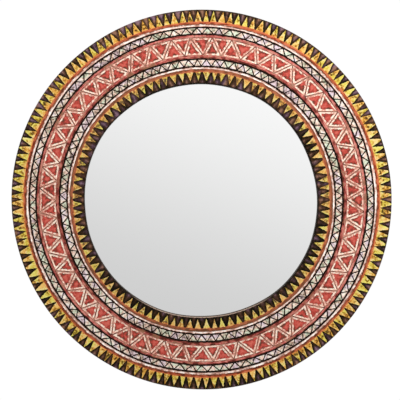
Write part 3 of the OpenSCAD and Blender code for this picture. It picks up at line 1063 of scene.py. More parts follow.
# %% Bands and small triangles
ORANGE_LAP = 0.2 * MM
ORANGE_DULLNESS = {"outer_orange": 0.0, "inner_orange": 0.3}
WHITE_LAPS = {"outer_white": (0.0, 0.3 * MM), "inner_white": (-0.25 * MM, 0.0)}
BORDER_LAP = 0.3 * MM
BORDER_LIGHTNESS = {"outer_border": 0.1, "inner_border": -0.12}


def across(tree, radius, name):
    """0 at a band's inner edge and 1 at its outer edge."""
    inner, outer = BANDS[name]
    return calc(tree, "DIVIDE", calc(tree, "SUBTRACT", radius, inner), outer - inner)


def away_from_red(tree, radius, name):
    """0 at the edge that a band turns to the large triangles and 1 at its other edge."""
    share = across(tree, radius, name)
    return share if name.startswith("outer") else opposite(tree, share)


def paint_bands(tree, colour, radius, waver, depth, brush):
    """The orange, white and red bands and the small triangles, laid over a colour."""
    for name, dullness in ORANGE_DULLNESS.items():
        paint = orange_paint(tree, away_from_red(tree, waver, name), dullness, brush)
        colour = mix(tree, band(tree, waver, name, ORANGE_LAP, ORANGE_LAP), colour, paint)
    for name, laps in WHITE_LAPS.items():
        paint = groove_paint(tree, across(tree, waver, name), brush)
        colour = mix(tree, band(tree, waver, name, *laps), colour, paint)
    chalk = chalk_paint(tree, depth, brush)
    for name in ("outer_zigzag", "inner_zigzag"):
        colour = mix(tree, band(tree, radius, name), colour, chalk)
    for name, lightness in BORDER_LIGHTNESS.items():
        line_side = step(tree, away_from_red(tree, waver, name), 0.3, 1.0)
        paint = border_paint(tree, line_side, lightness, brush)
        colour = mix(tree, band(tree, waver, name, BORDER_LAP, BORDER_LAP), colour, paint)
    return colour


print("bands:", [*ORANGE_DULLNESS, *WHITE_LAPS, *BORDER_LIGHTNESS])

# %% [markdown]
# The row of large triangles has its three paints side by side: the ridge where nothing is cut, the
# outline beside it, and the field inside. The distance to the nearest edge parts the outline from the
# field. Flecks as fine as the wood's pores are added to it, so that the outline is ragged.

# %% Large triangles
RAGGED = 0.55 * MM
CUT_FROM = 0.02 * MM
CUT_TO = 0.07 * MM


def paint_triangles(tree, colour, place, radius, angle, depth, brush):
    """The row of large triangles, laid over a colour."""
    edge = use_group(tree, TRIANGLE_EDGE, Place=place, Angle=angle)["Distance"]
    gap = brushed(tree, brush, shifted(tree, edge, brush), fleck=RAGGED)
    inside = calc(tree, "SUBTRACT", gap, RED_RIDGE / 2 + OUTLINE_W + RAGGED / 2)
    field = field_paint(tree, inside, brush)
    row = mix(tree, step(tree, inside, -0.1 * MM, 0.25 * MM), outline_paint(tree, brush), field)
    row = mix(tree, step(tree, depth, CUT_FROM, CUT_TO), ridge_paint(tree, brush), row)
    return mix(tree, band(tree, radius, "red_zigzag"), colour, row)


print("the outline is", in_mm(OUTLINE_W), "mm wide, give or take", in_mm(RAGGED / 2))

# %% [markdown]
# The brush that blackened the sides ran over the rim and the edge of the opening, so both are dark. Below
# the opening a pale band lies over the black: a painted highlight, as if the wall below were lit from
# above. Both lie over all that was painted before, and so do the black lines, which hide where the bands
# meet.

# %% Edges of the ring
DARK_EDGE = (0.9 * MM, 1.9 * MM)
# Painted highlight: a pale band along the bottom of the opening, as if its lower inner wall were lit.
PAINTED_HIGHLIGHT_REACH = (0.5 * MM, 1.2 * MM)
PAINTED_HIGHLIGHT_BELOW = (-0.48, -0.58)
PAINTED_HIGHLIGHT_SHARE = 0.6
PAINTED_HIGHLIGHT_COLOUR = rgb(206, 178, 158)
RIM_LINE = 2.2 * MM


def beside_opening(tree, radius, near, far):
    """1 beside the opening and 0 further out, from one distance to another."""
    return opposite(tree, step(tree, radius, OPENING_R + near, OPENING_R + far))


def paint_edges(tree, colour, waver, brush):
    """The dark edges of the ring, with a painted highlight along the bottom of the opening."""
    dark = beside_opening(tree, waver, *DARK_EDGE)
    dark = calc(tree, "MULTIPLY", dark, brushed(tree, brush, 1.0, wear=-0.4))
    colour = mix(tree, dark, colour, GROUND_BLACK)
    # Painted highlight: pale along the bottom of the opening.
    painted_highlight = beside_opening(tree, waver, *PAINTED_HIGHLIGHT_REACH)
    painted_highlight = calc(tree, "MULTIPLY", painted_highlight, step(tree, brush["height"], *PAINTED_HIGHLIGHT_BELOW))
    colour = mix(tree, calc(tree, "MULTIPLY", painted_highlight, PAINTED_HIGHLIGHT_SHARE), colour, PAINTED_HIGHLIGHT_COLOUR)
    rim = step(tree, waver, RIM_R - RIM_LINE, RIM_R - RIM_LINE / 2)
    rim = calc(tree, "MULTIPLY", rim, brushed(tree, brush, 1.0, wear=-0.9))
    return mix(tree, rim, colour, GROUND_BROWN)


print("the opening's dark edge ends within", in_mm(DARK_EDGE[1]), "mm")

# %% [markdown]
# One function lays all the paints in their order. A single ramp over the radius would be shorter, but
# then no paint could lap over another. Last of all the whole is made a little lighter towards the upper
# right and a little darker towards the lower left: painted light, the falloff of a lamp at the upper right.

# %% The painted front
GROUND_BEFORE = 0.3 * MM
LINE_LAPS = {
    "outer_line": -0.15 * MM,
    "inner_line": -0.25 * MM,
    "red_outer_line": 0.0,
    "red_inner_line": 0.05 * MM,
}
# Painted light: how much lighter the front is towards the upper right and darker at the lower left.
PAINTED_LIGHT_FALLOFF = 0.07


def painted_front(tree, place, radius, angle, depth, brush):
    """The colour of the carved face at a place."""
    waver = shifted(tree, radius, brush)
    colour = ground_paint(tree, GROUND_BEFORE, brush)
    for name in POINT_ROWS:
        colour = paint_points(tree, colour, name, radius, angle, depth, brush)
    colour = paint_bands(tree, colour, radius, waver, depth, brush)
    colour = paint_triangles(tree, colour, place, radius, angle, depth, brush)
    for name, lap in LINE_LAPS.items():
        colour = mix(tree, band(tree, waver, name, lap, lap), colour, LINE_BLACK)
    colour = paint_edges(tree, colour, waver, brush)
    return scaled(tree, colour, brushed(tree, brush, 1.0, fresh=PAINTED_LIGHT_FALLOFF))


print("black lines:", list(LINE_LAPS))

# %% [markdown]
# The sides are black too, and thinner. The painter's brush has gone a few millimetres round onto the
# back, which is otherwise bare planed wood: pale, streaked along each board, with a dark line of glue at
# each joint. The back could have its own material, but the brush's lap has no straight edge to part it
# by, so depth and radius say where the wood is bare.

# %% Bare wood
BARE_PALE = rgb(196, 158, 114)
BARE_WOOD = rgb(170, 130, 88)
BARE_DARK = rgb(120, 86, 56)
GLUE = rgb(96, 64, 36)
JOINT_SHARE = 0.0022
BRUSH_LAP = 4.5 * MM
REBATE_FROM = (9.6 * MM, 9.9 * MM)
BOARD_T = 20 * MM
BACK_FROM = (BOARD_T - 0.6 * MM, BOARD_T - 0.3 * MM)
OUTER_WALL = 12 * MM


def bare_wood(tree, grain):
    """Planed wood with its streaks and pores and the glue lines at the joints."""
    tone = total(tree, -0.25, (grain["Streak"], 1.0), (grain["Pores"], 0.5))
    wood = ramp(tree, tone, (0.34, BARE_DARK), (0.5, BARE_WOOD), (0.66, BARE_PALE))
    glue = opposite(tree, step(tree, grain["Joint"], JOINT_SHARE, JOINT_SHARE * 2.5))
    return mix(tree, glue, wood, GLUE)


def where_bare(tree, radius, depth, brush):
    """1 on the back and in the rebates, where no paint went, and 0 elsewhere."""
    lap = brushed(tree, brush, radius, patch=BRUSH_LAP)
    painted_back = step(tree, lap, RIM_R - 0.9 * MM, RIM_R - 0.4 * MM)
    back = calc(tree, "MULTIPLY", step(tree, depth, *BACK_FROM), opposite(tree, painted_back))
    rebate = step(tree, depth, *REBATE_FROM)
    rebate = calc(tree, "MULTIPLY", rebate, step(tree, radius, OPENING_R, OPENING_R + MM))
    rebate = calc(tree, "MULTIPLY", rebate, calc(tree, "LESS_THAN", radius, RIM_R - OUTER_WALL))
    return calc(tree, "MAXIMUM", back, rebate)


report_tones("bare wood", BARE_PALE, BARE_DARK)

# %% [markdown]
# All of it comes together in one material. It reads each point's place on a perfect ring, which the boards
# carry as an attribute: with Object coordinates the paint would stay put while the hand-cut shapes stray,
# and the two would part. The bump has grain everywhere, brush marks on the paint, and pores and the faint
# ripple of a planer on the bare wood.

# %% The ring's material
SIDES_FROM = (2.2 * MM, 2.6 * MM)
PLANER_STEP = 3.4 * MM


def piece_attribute(tree, name):
    """A vector that the piece's own mesh carries."""
    node = tree.nodes.new("ShaderNodeAttribute")
    node.attribute_name = name
    return node.outputs["Vector"]


def bump(tree, height, distance, strength=0.5):
    """A bump of a height from 0 to 1 on the main shader."""
    node = tree.nodes.new("ShaderNodeBump")
    feed_all(tree, node.inputs, Distance=distance, Strength=strength, Height=height)
    coat(tree, Normal=node.outputs[0])


def ring_material():
    """Paint on the front and sides, bare wood behind."""
    material, tree = principled("carved_paint")
    place = piece_attribute(tree, "carved_place")
    radius, angle, depth = use_group(tree, RING_PLACE, Place=place)
    brush = brushes(tree, place, radius)
    front = painted_front(tree, place, radius, angle, depth, brush)
    grain = use_group(tree, BOARD_GRAIN, Place=place, Angle=angle)
    side_tone = brushed(tree, brush, 0.0, patch=0.4, fleck=0.3, dab=0.2)
    sides = ramp(tree, side_tone, (0.1, GROUND_BLACK), (0.5, GROUND_BROWN), (0.9, GROUND_PURPLE))
    colour = mix(tree, step(tree, depth, *SIDES_FROM), front, sides)
    bare = where_bare(tree, radius, depth, brush)
    colour = mix(tree, bare, colour, bare_wood(tree, grain))
    roughness = brushed(tree, brush, 0.55, fleck=0.2)
    coat(tree, Base_Color=colour, Roughness=roughness, Specular_IOR_Level=0.08)

    ripple = calc(tree, "SINE", calc(tree, "MULTIPLY", grain["Along"], 2 * math.pi / PLANER_STEP))
    ripple = calc(tree, "MULTIPLY", calc(tree, "MULTIPLY", ripple, 0.3), bare)
    fine = calc(tree, "MULTIPLY", brush["fleck"], opposite(tree, bare))
    pores = calc(tree, "MULTIPLY", grain["Pores"], bare)
    height = total(tree, ripple, (grain["Streak"], 1.0), (fine, 0.5), (pores, 1.2))
    bump(tree, height, 0.25 * MM)
    return material


CARVED_PAINT = ring_material()
print("carved_paint:", len(CARVED_PAINT.node_tree.nodes), "nodes")

# %% [markdown]
# ## The eight boards
#
# The ring is glued from eight boards. Saw, knife and years leave it not quite round, with an opening that
# is a little square and lies a millimetre or two off the middle, and with lines that waver by a fraction
# of a millimetre. A displacement modifier could do it, but it would also move the sizes that other pieces
# fit into. So each point is moved by a formula that leaves those alone.

# %% How the ring departs from a perfect one
OVAL = 0.5 * MM
INNER_OVAL = 0.2 * MM
OVAL_TURN = math.radians(-51)
THREE_SIDED = 0.3 * MM
THREE_SIDED_TURN = math.radians(28)
DRIFT_RIGHT = -1.1 * MM
DRIFT_UP = -1.1 * MM
SQUARE = 0.8 * MM
SQUARE_TURN = math.radians(37)
WAVER = 0.5 * MM
WAVES = ((0.4, 3, 0.8, 90), (0.35, 7, 2.1, -117), (0.25, 13, 4.0, 63))
RIM_MARGIN = 0.5 * MM
LIP_Y = FRONT_Y + 10 * MM
CARVED_TO = FRONT_Y + 4 * MM
SAWN_FROM = RIM_R - 10 * MM
SAWN_REACH = 8 * MM


def unevenness(angle, radius):
    """How far outwards a line strays at an angle: slow bends of the whole ring and quick ones of its own."""
    inward = (RIM_R - radius) / (RIM_R - OPENING_R)
    slow = (OVAL + INNER_OVAL * inward) * math.cos(2 * (angle - OVAL_TURN))
    slow += THREE_SIDED * math.cos(3 * (angle - THREE_SIDED_TURN))
    slow += SQUARE * inward * math.cos(4 * (angle - SQUARE_TURN))
    slow += DRIFT_RIGHT * inward**4 * math.sin(angle) + DRIFT_UP * inward * math.cos(angle)
    quick = sum(
        share * math.sin(bends * angle + start + radius * drift) for share, bends, start, drift in WAVES
    )
    steady = min(1.0, 0.25 + inward * 6)
    return slow + WAVER * steady * quick - RIM_MARGIN * max(0.0, 1 - inward * 6)


def share_of_unevenness(place, radius):
    """All of it on the carved face and none where pieces fit together."""
    if place.y < CARVED_TO:
        return 1.0
    if radius < OPENING_R + MM:
        return 1.0 if place.y < LIP_Y + 0.1 * MM else 0.0
    return min(1.0, max(0.0, (radius - SAWN_FROM) / SAWN_REACH))


def strayed(place):
    """Where a point of the perfect ring lies on the hand-cut one."""
    radius = math.hypot(place.x, place.z)
    angle = math.atan2(place.x, place.z)
    moved = radius + share_of_unevenness(place, radius) * unevenness(angle, radius)
    return Vector((moved * math.sin(angle), place.y, moved * math.cos(angle)))


print("the rim strays at the top by", in_mm(unevenness(0, RIM_R)), "mm")

# %% [markdown]
# Each board's shape is already cut, down to every chip, so the boards aren't modelled again. A copy of
# each CAD node is merged from its loose triangles. A copy is free to change, while the node it stands for
# stays as it is.

# %% Copies of the boards


def select_only(piece):
    """Selects one piece, so that an operator acts on it alone."""
    bpy.ops.object.select_all(action="DESELECT")
    piece.select_set(True)
    bpy.context.view_layer.objects.active = piece


def own_copy(piece, name):
    """A selected copy of a piece with its own mesh."""
    copy = piece.copy()
    copy.data = piece.data.copy()
    copy.name = name
    bpy.context.scene.collection.objects.link(copy)
    select_only(copy)
    return copy


def clean_copy(node, name):
    """A free copy of a CAD node with its loose triangles merged."""
    piece = own_copy(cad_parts[node], name)
    for key in list(piece.keys()):
        del piece[key]
    piece.parent = None
    bpy.ops.object.mode_set(mode="EDIT")
    bpy.ops.mesh.select_all(action="SELECT")
    bpy.ops.mesh.remove_doubles(threshold=0.002 * MM)
    bpy.ops.object.mode_set(mode="OBJECT")
    piece.data.materials.clear()
    return piece


boards = {node: clean_copy(node, node.replace("frame_segment", "carved_board")) for node in SEGMENTS}
print("boards:", len(boards), "with", sum(len(b.data.polygons) for b in boards.values()), "faces")

# %% [markdown]
# Now the boards get the line of hand work. Each point first stores where it would lie on the perfect ring,
# and the paint reads that, so paint and cut move together. Every new piece then rides on its body, and the
# CAD node that it stands for is hidden.

# %% Wavering boards
SMOOTH_UNDER = math.radians(12)


def declare(piece, body, node):
    """Puts a piece on its body and hides the CAD node that it stands for."""
    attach(piece, body)
    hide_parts(node)


def waver(board):
    """Gives a board the uneven line of hand work."""
    kept = board.data.attributes.new("carved_place", "FLOAT_VECTOR", "POINT")
    for point, vertex in zip(kept.data, board.data.vertices):
        point.vector = vertex.co
        vertex.co = strayed(vertex.co)
    select_only(board)
    bpy.ops.object.shade_smooth_by_angle(angle=SMOOTH_UNDER)
    board.data.materials.append(CARVED_PAINT)


for node, board in boards.items():
    waver(board)
    declare(board, "mirror", node)
print("the opening is", in_mm(2 * OPENING_R), "mm wide before it wavers")

# %% [markdown]
# ## The glass
#
# Mirror glass is silvered on its back, has ground edges and is held from behind against the lip of the
# ring. Its three surfaces get their own finish: the silvered front, which waves a very little, the green
# ground edge, and the grey paint over the silver with the stipple of a roller. Real silver lies behind
# clear glass, but at this size the two look the same as one polished metal, which renders without noise.

# %% Glass finishes


def object_place(tree):
    """Where a point of a piece is, in metres."""
    return tree.nodes.new("ShaderNodeTexCoord").outputs["Object"]


def silvered_glass():
    """A mirror with the faintest haze and waves."""
    material, tree = principled("silvered_glass")
    place = object_place(tree)
    haze = total(tree, 0.004, (noise(tree, place, 30, 3), 0.012))
    coat(tree, Base_Color=(0.945, 0.948, 0.946, 1), Metallic=1.0, Roughness=haze)
    bump(tree, noise(tree, place, 12, 1), 0.02 * MM, 0.3)
    return material


def ground_edge():
    """Green glass that a grinding belt has made dull."""
    material, tree = principled("ground_edge")
    grit = noise(tree, object_place(tree), 900, 2, stretch=(1, 6, 1))
    colour = ramp(tree, grit, (0.3, rgb(132, 160, 150)), (0.7, rgb(176, 200, 190)))
    coat(tree, Base_Color=colour, Roughness=0.4)
    bump(tree, grit, 0.05 * MM)
    return material


def silver_backing_paint():
    """Grey paint with the stipple of a roller."""
    material, tree = principled("silver_backing_paint")
    stipple = noise(tree, object_place(tree), 700, 2)
    colour = ramp(tree, stipple, (0.3, rgb(82, 84, 90)), (0.7, rgb(104, 106, 110)))
    coat(tree, Base_Color=colour, Roughness=0.6)
    bump(tree, stipple, 0.1 * MM)
    return material


GLASS_FINISHES = (silvered_glass(), ground_edge(), silver_backing_paint())
print("glass finishes:", [material.name for material in GLASS_FINISHES])

# %% [markdown]
# The glass is a cylinder laid on its side. A Bevel modifier would also cut the many short lines between
# its side faces, so only its two rims are selected and bevelled. Which finish a face gets follows from
# where it looks. The front stays flat shaded, or the bevel beside it would bend what it reflects.

# %% Glass disc
GLASS_BEVEL = 0.5 * MM
DISC_SIDES = 192
FLAT = 0.1 * MM
STRAIGHT = 0.99


def select_rims(piece):
    """Selects the edges of a disc that run round its two faces."""
    bpy.ops.object.mode_set(mode="EDIT")
    bpy.ops.mesh.select_mode(type="EDGE")
    bpy.ops.mesh.select_all(action="DESELECT")
    bpy.ops.object.mode_set(mode="OBJECT")
    for edge in piece.data.edges:
        first, second = (piece.data.vertices[number].co for number in edge.vertices)
        edge.select = abs(first.y - second.y) < FLAT
    bpy.ops.object.mode_set(mode="EDIT")


def disc(name, node, bevel, segments):
    """A flat round piece the size of a CAD node, its edges bevelled."""
    low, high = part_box(node)
    bpy.ops.object.select_all(action="DESELECT")
    bpy.ops.mesh.primitive_cylinder_add(
        vertices=DISC_SIDES,
        radius=(high.x - low.x) / 2,
        depth=high.y - low.y,
        location=(low + high) / 2,
        rotation=(math.radians(90), 0, 0),
    )
    piece = bpy.context.object
    piece.name = name
    bpy.ops.object.transform_apply()
    select_rims(piece)
    bpy.ops.mesh.bevel(offset=bevel, segments=segments)
    bpy.ops.object.mode_set(mode="OBJECT")
    return piece


def finish_number(face):
    """0 on the front, 2 on the back and 1 on the edge between them, by where a face looks."""
    if face.normal.y < -STRAIGHT:
        return 0
    if face.normal.y > STRAIGHT:
        return 2
    return 1


def glass_disc():
    """The mirror glass with its three finishes."""
    glass = disc("silvered_glass", "mirror_glass", GLASS_BEVEL, 2)
    for material in GLASS_FINISHES:
        glass.data.materials.append(material)
    for face in glass.data.polygons:
        face.material_index = finish_number(face)
    declare(glass, "mirror", "mirror_glass")
    return glass


glass = glass_disc()
print("glass faces:", len(glass.data.polygons))

# %% [markdown]
# ## Cushion and biscuits
#
# A thin foam sheet presses the glass against the lip, and wooden biscuits hold the joints. Both are
# hidden, but anyone who takes the mirror apart finds them. The sheet is a disc whose edge is squeezed
# round, and cells of a Voronoi pattern look more like foam than noise does, each with painted shade in
# its hollow. The biscuits' CAD shape is already right, so they keep it and only get the crossed fibres
# of pressed beech.

# %% Foam and beech


def foam():
    """Closed cells, pale and matt, with painted shade in their hollows."""
    material, tree = principled("foam")
    cells = tree.nodes.new("ShaderNodeTexVoronoi")
    feed_all(tree, cells.inputs, Vector=object_place(tree), Scale=1400)
    depth = cells.outputs["Distance"]
    # Painted shade: each cell is darker where it lies lower, towards its hollow middle.
    colour = ramp(tree, depth, (0.1, rgb(206, 202, 192)), (0.6, rgb(238, 236, 228)))
    coat(tree, Base_Color=colour, Roughness=0.85)
    bump(tree, depth, 0.1 * MM)
    return material


def pressed_beech():
    """Beech with its short crossed fibres."""
    material, tree = principled("pressed_beech")
    fibres = noise(tree, object_place(tree), 260, 3, 0.6, stretch=(1, 5, 1))
    colour = ramp(tree, fibres, (0.35, rgb(164, 120, 78)), (0.65, rgb(208, 168, 122)))
    coat(tree, Base_Color=colour, Roughness=0.75)
    bump(tree, fibres, 0.1 * MM)
    return material


def foam_disc():
    """The sheet behind the glass, its edge squeezed round."""
    sheet = disc("foam_sheet", "cushion_sheet", 0.4 * MM, 3)
    bpy.ops.object.shade_smooth_by_angle(angle=math.radians(40))
    sheet.data.materials.append(foam())
    declare(sheet, "mirror", "cushion_sheet")
    return sheet


sheet = foam_disc()
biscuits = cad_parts["joint_biscuits"]
biscuits.data.materials.clear()
biscuits.data.materials.append(pressed_beech())
print("foam faces:", len(sheet.data.polygons))

# %% [markdown]
# ## The backing board
#
# Screws, bumpers and the cutter for the screws' seats are turned, and all are made the same way: a circle
# is extruded step by step along Z and resized at each step, and then laid down so that its axis points
# through the mirror. The spin operator would do it too, but it leaves a seam and two poles to close.

# %% Turned pieces
SEAT = [(3.6, -1.0), (3.6, 0.0), (2.05, 1.6), (2.05, 6.0)]


def turned(name, profile, sides=48):
    """A piece turned about Y from pairs of radius and depth in mm; depth grows towards the viewer."""
    radius, depth = profile[0]
    bpy.ops.object.select_all(action="DESELECT")
    bpy.ops.mesh.primitive_circle_add(
        vertices=sides, radius=radius * MM, location=(0, 0, depth * MM), fill_type="NGON"
    )
    piece = bpy.context.object
    piece.name = name
    bpy.ops.object.transform_apply()
    bpy.ops.object.mode_set(mode="EDIT")
    bpy.ops.mesh.select_all(action="SELECT")
    for (radius, depth), (next_radius, next_depth) in zip(profile, profile[1:]):
        rise = (0, 0, (next_depth - depth) * MM)
        bpy.ops.mesh.extrude_region_move(TRANSFORM_OT_translate={"value": rise})
        ratio = next_radius / radius
        bpy.ops.transform.resize(value=(ratio, ratio, 1), center_override=(0, 0, 0))
    bpy.ops.mesh.select_all(action="SELECT")
    bpy.ops.mesh.normals_make_consistent(inside=False)
    bpy.ops.object.mode_set(mode="OBJECT")
    piece.rotation_euler.x = math.radians(90)
    bpy.ops.object.transform_apply()
    return piece


seat_cutter = turned("seat_cutter", SEAT)
print("faces of the seat cutter:", len(seat_cutter.data.polygons))

# %% [markdown]
# The eight screws of the board are one CAD node, and so are the two of a hanger. Their places could be
# typed in, but the box round a node gives them: its edge is one head's radius past the outermost screw.

# %% Where the screws stand
HEAD_R = 3.5 * MM
screws_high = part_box("backing_screws")[1]
BOARD_SCREW_R = screws_high.x - HEAD_R
BOARD_SCREWS = [
    Vector((BOARD_SCREW_R * math.sin(turn), screws_high.y, BOARD_SCREW_R * math.cos(turn)))
    for turn in (number * BOARD_ANGLE for number in range(BOARDS))
]
print("board screws stand", in_mm(BOARD_SCREW_R), "mm from the middle")


def strap_screw_places(side):
    """The two screws of one hanger, from the box round them."""
    low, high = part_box("hanger_screws_" + side)
    return [Vector(((low.x + high.x) / 2, high.y, z)) for z in (high.z - HEAD_R, low.z + HEAD_R)]

# %% [markdown]
# A disc of thin plywood closes the back. Its face shows the broad figure of a peeled veneer. Straight
# streaks would look like sawn wood, so bands of a sine run through stretched noise instead. The edge
# shows the plies as stripes.

# %% Plywood
PLY = 0.8 * MM


def plywood_material(radius):
    """Peeled veneer with a broad figure, and plies as stripes on the edge."""
    material, tree = principled("plywood")
    place = object_place(tree)
    ring = use_group(tree, RING_PLACE, Place=place)
    figure = noise(tree, place, 7, 3, 0.55, stretch=(7, 1, 0.7))
    waves = calc(tree, "SINE", calc(tree, "MULTIPLY", figure, 90.0))
    pores = noise(tree, place, 240, 2, 0.6, stretch=(3, 1, 0.12))
    fibres = noise(tree, place, 700, 2, 0.6, stretch=(2.4, 1, 0.1))
    tone = total(tree, 0.05, (waves, 0.1), (pores, 0.5), (fibres, 0.4))
    face = ramp(tree, tone, (0.2, rgb(150, 112, 70)), (0.5, rgb(188, 152, 106)), (0.8, rgb(212, 182, 138)))
    stain = step(tree, noise(tree, place, 14, 2), 0.56, 0.8)
    face = mix(tree, calc(tree, "MULTIPLY", stain, 0.25), face, rgb(140, 104, 66))
    plies = calc(tree, "FLOORED_MODULO", calc(tree, "DIVIDE", ring["Depth"], PLY), 2.0)
    edge = mix(tree, calc(tree, "GREATER_THAN", plies, 1.0), rgb(172, 132, 88), rgb(108, 76, 46))
    outside = step(tree, ring["Radius"], radius - 0.4 * MM, radius - 0.2 * MM)
    colour = mix(tree, outside, face, edge)
    coat(tree, Base_Color=colour, Roughness=0.7, Specular_IOR_Level=0.25)
    bump(tree, total(tree, 0.0, (pores, 0.5), (fibres, 0.6), (waves, 0.1)), 0.15 * MM)
    return material


board_low, board_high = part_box("backing_board")
PLYWOOD = plywood_material((board_high.x - board_low.x) / 2)
print("plies across the edge:", round((board_high.y - board_low.y) / PLY))

# %% [markdown]
# The board itself is a flat disc with a countersunk hole for each of its screws. Holes that were only
# painted on would stay flat in a light from the side, so they are cut with a boolean, and a copy of the
# turned cutter cuts each. So every hole has the very shape that a screw sits in.

# %% Backing board


def copy_to(piece, name, place, turn=0.0):
    """A copy that is turned about Y and moved."""
    copy = own_copy(piece, name)
    copy.rotation_euler.y = turn
    copy.location = place
    bpy.ops.object.transform_apply()
    return copy


def discard(piece):
    """Throws away a pattern or a cutter that has done its work."""
    bpy.data.objects.remove(piece, do_unlink=True)


def cut_away(piece, cutter):
    """Cuts one piece out of another and throws the cutter away."""
    select_only(piece)
    modifier = piece.modifiers.new("cut", "BOOLEAN")
    modifier.operation = "DIFFERENCE"
    modifier.solver = "EXACT"
    modifier.object = cutter
    bpy.ops.object.modifier_apply(modifier=modifier.name)
    discard(cutter)


def plywood_board():
    """The backing board with its countersunk holes."""
    board = disc("plywood_board", "backing_board", 0.3 * MM, 2)
    bpy.ops.object.shade_smooth_by_angle(angle=math.radians(40))
    for number, place in enumerate(BOARD_SCREWS):
        cut_away(board, copy_to(seat_cutter, f"seat_{number}", place))
    discard(seat_cutter)
    board.data.materials.append(PLYWOOD)
    declare(board, "mirror", "backing_board")
    return board


plywood = plywood_board()
print("board faces:", len(plywood.data.polygons))

# %% [markdown]
# ## Screws
#
# The plating of the screws is a satin yellowish zinc. It is never even: a mottle changes its colour and
# its gloss together, and fine scratches from the driver and the die give it a grain.

# %% Zinc plate


def zinc_plate():
    """Satin zinc with a yellowish mottle and fine scratches."""
    material, tree = principled("zinc_plate")
    place = object_place(tree)
    mottle = noise(tree, place, 420, 3, 0.6)
    scratches = noise(tree, place, 1500, 2, 0.6, stretch=(1, 1, 8))
    colour = ramp(tree, mottle, (0.3, rgb(168, 158, 128)), (0.6, rgb(206, 200, 176)))
    coat(tree, Base_Color=colour, Metallic=1.0, Roughness=total(tree, 0.24, (mottle, 0.2)))
    bump(tree, scratches, 0.03 * MM)
    return material


ZINC = zinc_plate()
print(ZINC.name, "has", len(ZINC.node_tree.nodes), "nodes")

# %% [markdown]
# Two screws are modelled: a countersunk one for the board and a pan-headed one for the hangers. A thread
# would never be seen, so their shanks are plain, but the tapered cross recess catches the light and is
# cut out of each head.

# %% Screw shapes
COUNTERSUNK = [(3.2, 0.0), (3.42, 0.06), (3.5, 0.2), (1.75, 1.9), (1.75, 9.0), (1.2, 10.4), (0.15, 12.0)]
PAN_HEAD = [(1.9, 0.0), (2.5, 0.12), (3.05, 0.42), (3.38, 0.85), (3.5, 1.3), (3.48, 1.8), (3.35, 1.9)]
PAN_HEAD += [(1.75, 1.9), (1.75, 10.9), (1.2, 12.3), (0.15, 13.9)]
RECESS_W = 0.8 * MM
RECESS_DEPTH = 1.15 * MM
RECESS_REACH = 1.7 * MM
RECESS_TAPER = 0.6


def cross_recess():
    """A cutter of two crossed blades that taper towards their bottom."""
    bpy.ops.object.select_all(action="DESELECT")
    blades = []
    for width, height in ((2 * RECESS_REACH, RECESS_W), (RECESS_W, 2 * RECESS_REACH)):
        bpy.ops.mesh.primitive_cube_add(size=1)
        blade = bpy.context.object
        blade.scale = (width, 2 * RECESS_DEPTH, height)
        bpy.ops.object.transform_apply()
        for vertex in blade.data.vertices:
            if vertex.co.y < 0:
                vertex.co.x *= RECESS_TAPER
                vertex.co.z *= RECESS_TAPER
        blades.append(blade)
    return blades


def screw(name, profile):
    """A turned screw with its recess."""
    piece = turned(name, profile, sides=40)
    for blade in cross_recess():
        cut_away(piece, blade)
    bpy.ops.object.shade_smooth_by_angle(angle=math.radians(28))
    piece.data.materials.clear()
    piece.data.materials.append(ZINC)
    return piece


countersunk = screw("countersunk_screw", COUNTERSUNK)
pan_headed = screw("pan_screw", PAN_HEAD)
print("screw faces:", len(countersunk.data.polygons), len(pan_headed.data.polygons))

# %% [markdown]
# What repeats is modelled once and copied. Each copy is turned by another amount, as no two screws stop
# at the same angle, and the patterns are thrown away in the end.

# %% Driven screws


def drive(pattern, places, name, node):
    """Copies of a screw, each stopped at another angle."""
    driven = []
    for number, place in enumerate(places):
        copy = copy_to(pattern, f"{name}_{number}", place, turn=0.7 + 2.4 * number)
        declare(copy, "mirror", node)
        driven.append(copy)
    return driven


driven = drive(countersunk, BOARD_SCREWS, "board_screw", "backing_screws")
for side in ("left", "right"):
    driven += drive(pan_headed, strap_screw_places(side), f"{side}_hanger_screw", "hanger_screws_" + side)
for pattern in (countersunk, pan_headed):
    discard(pattern)
print("screws:", len(driven))

# %% [markdown]
# ## Hangers and bumpers
#
# The straps and rings of the hangers are nickel plated. A strap has been brushed along its length, so
# very long thin noise shades its gloss, and slow clouds show where hands have dulled it.

# %% Nickel plate


def satin_nickel():
    """Brushed nickel with slow clouds."""
    material, tree = principled("satin_nickel")
    place = object_place(tree)
    brushed_lines = noise(tree, place, 1800, 2, 0.6, stretch=(1, 1, 0.05))
    cloud = noise(tree, place, 160, 3, 0.6)
    colour = ramp(tree, cloud, (0.3, rgb(164, 160, 150)), (0.7, rgb(206, 203, 196)))
    roughness = total(tree, 0.2, (cloud, 0.14), (brushed_lines, 0.12))
    coat(tree, Base_Color=colour, Metallic=1.0, Roughness=roughness)
    bump(tree, brushed_lines, 0.02 * MM)
    return material


NICKEL = satin_nickel()
print(NICKEL.name, "has", len(NICKEL.node_tree.nodes), "nodes")

# %% [markdown]
# The straps are bent from thin steel, and a stamped edge is never quite sharp, so a copy of each gets its
# arrises eased by a narrow bevel. The rings are bent from wire, and a bevel would find no arris on
# them, so theirs are only smoothed.

# %% Straps and rings
EASE = 0.12 * MM


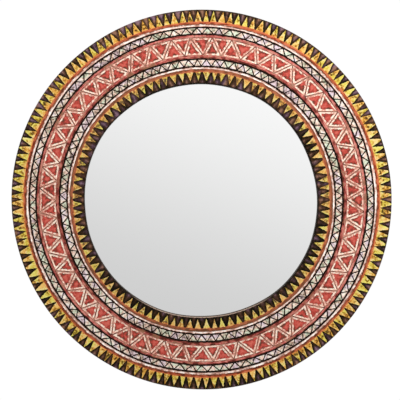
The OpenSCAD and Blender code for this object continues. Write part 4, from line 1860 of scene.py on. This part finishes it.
def ease_arrises(piece):
    """Joins a piece's flat faces and gives its arrises a narrow bevel."""
    bpy.ops.object.mode_set(mode="EDIT")
    bpy.ops.mesh.select_all(action="SELECT")
    bpy.ops.mesh.dissolve_limited(angle_limit=math.radians(1))
    bpy.ops.object.mode_set(mode="OBJECT")
    modifier = piece.modifiers.new("ease", "BEVEL")
    modifier.width = EASE
    modifier.segments = 2
    modifier.limit_method = "ANGLE"
    modifier.angle_limit = math.radians(40)
    bpy.ops.object.modifier_apply(modifier=modifier.name)


def dressed_copy(node, name, body, material, eased):
    """A clean copy of a hanger's CAD node with a finish, and with eased arrises where it is flat steel."""
    piece = clean_copy(node, name)
    if eased:
        ease_arrises(piece)
    bpy.ops.object.shade_smooth_by_angle(angle=math.radians(35))
    piece.data.materials.append(material)
    declare(piece, body, node)
    return piece


for side in ("left", "right"):
    strap = dressed_copy(f"hanger_strap_{side}", f"{side}_strap", "mirror", NICKEL, eased=True)
    wire = dressed_copy(f"hanger_ring_{side}", f"{side}_ring_wire", f"{side}_ring", NICKEL, eased=False)
    print(side, "strap and ring faces:", len(strap.data.polygons), len(wire.data.polygons))

# %% [markdown]
# The rubber bumpers keep the frame off the wall. They are moulded, with a soft edge and the small dimple
# that the mould leaves in the middle. A turned profile gives all of that at once, where a bevelled
# cylinder would have no dimple. Rubber gathers dust, so its black is greyer here and there.

# %% Bumpers
BUMPER = [(1.6, 0.5), (2.0, 0.12), (2.3, 0.0), (5.6, 0.0), (6.2, 0.12), (6.7, 0.5), (6.95, 1.1)]
BUMPER += [(7.0, 1.6), (7.0, 5.6), (6.9, 5.9), (6.7, 6.0)]


def rubber():
    """Dark rubber with a fine grain and a little dust."""
    material, tree = principled("rubber")
    place = object_place(tree)
    grain = noise(tree, place, 900, 3, 0.6)
    tone = total(tree, 0.0, (noise(tree, place, 120, 2), 0.7), (grain, 0.3))
    colour = ramp(tree, tone, (0.35, rgb(26, 26, 26)), (0.75, rgb(62, 60, 58)))
    coat(tree, Base_Color=colour, Roughness=total(tree, 0.5, (grain, 0.3)))
    bump(tree, grain, 0.06 * MM)
    return material


bumper = turned("bumper", BUMPER, sides=64)
bpy.ops.object.shade_smooth_by_angle(angle=math.radians(35))
bumper.data.materials.append(rubber())
for side in ("left", "right"):
    low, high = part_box("wall_bumper_" + side)
    middle = (low + high) / 2
    pad = copy_to(bumper, side + "_bumper", (middle.x, high.y, middle.z), turn=0.4)
    declare(pad, "mirror", "wall_bumper_" + side)
discard(bumper)
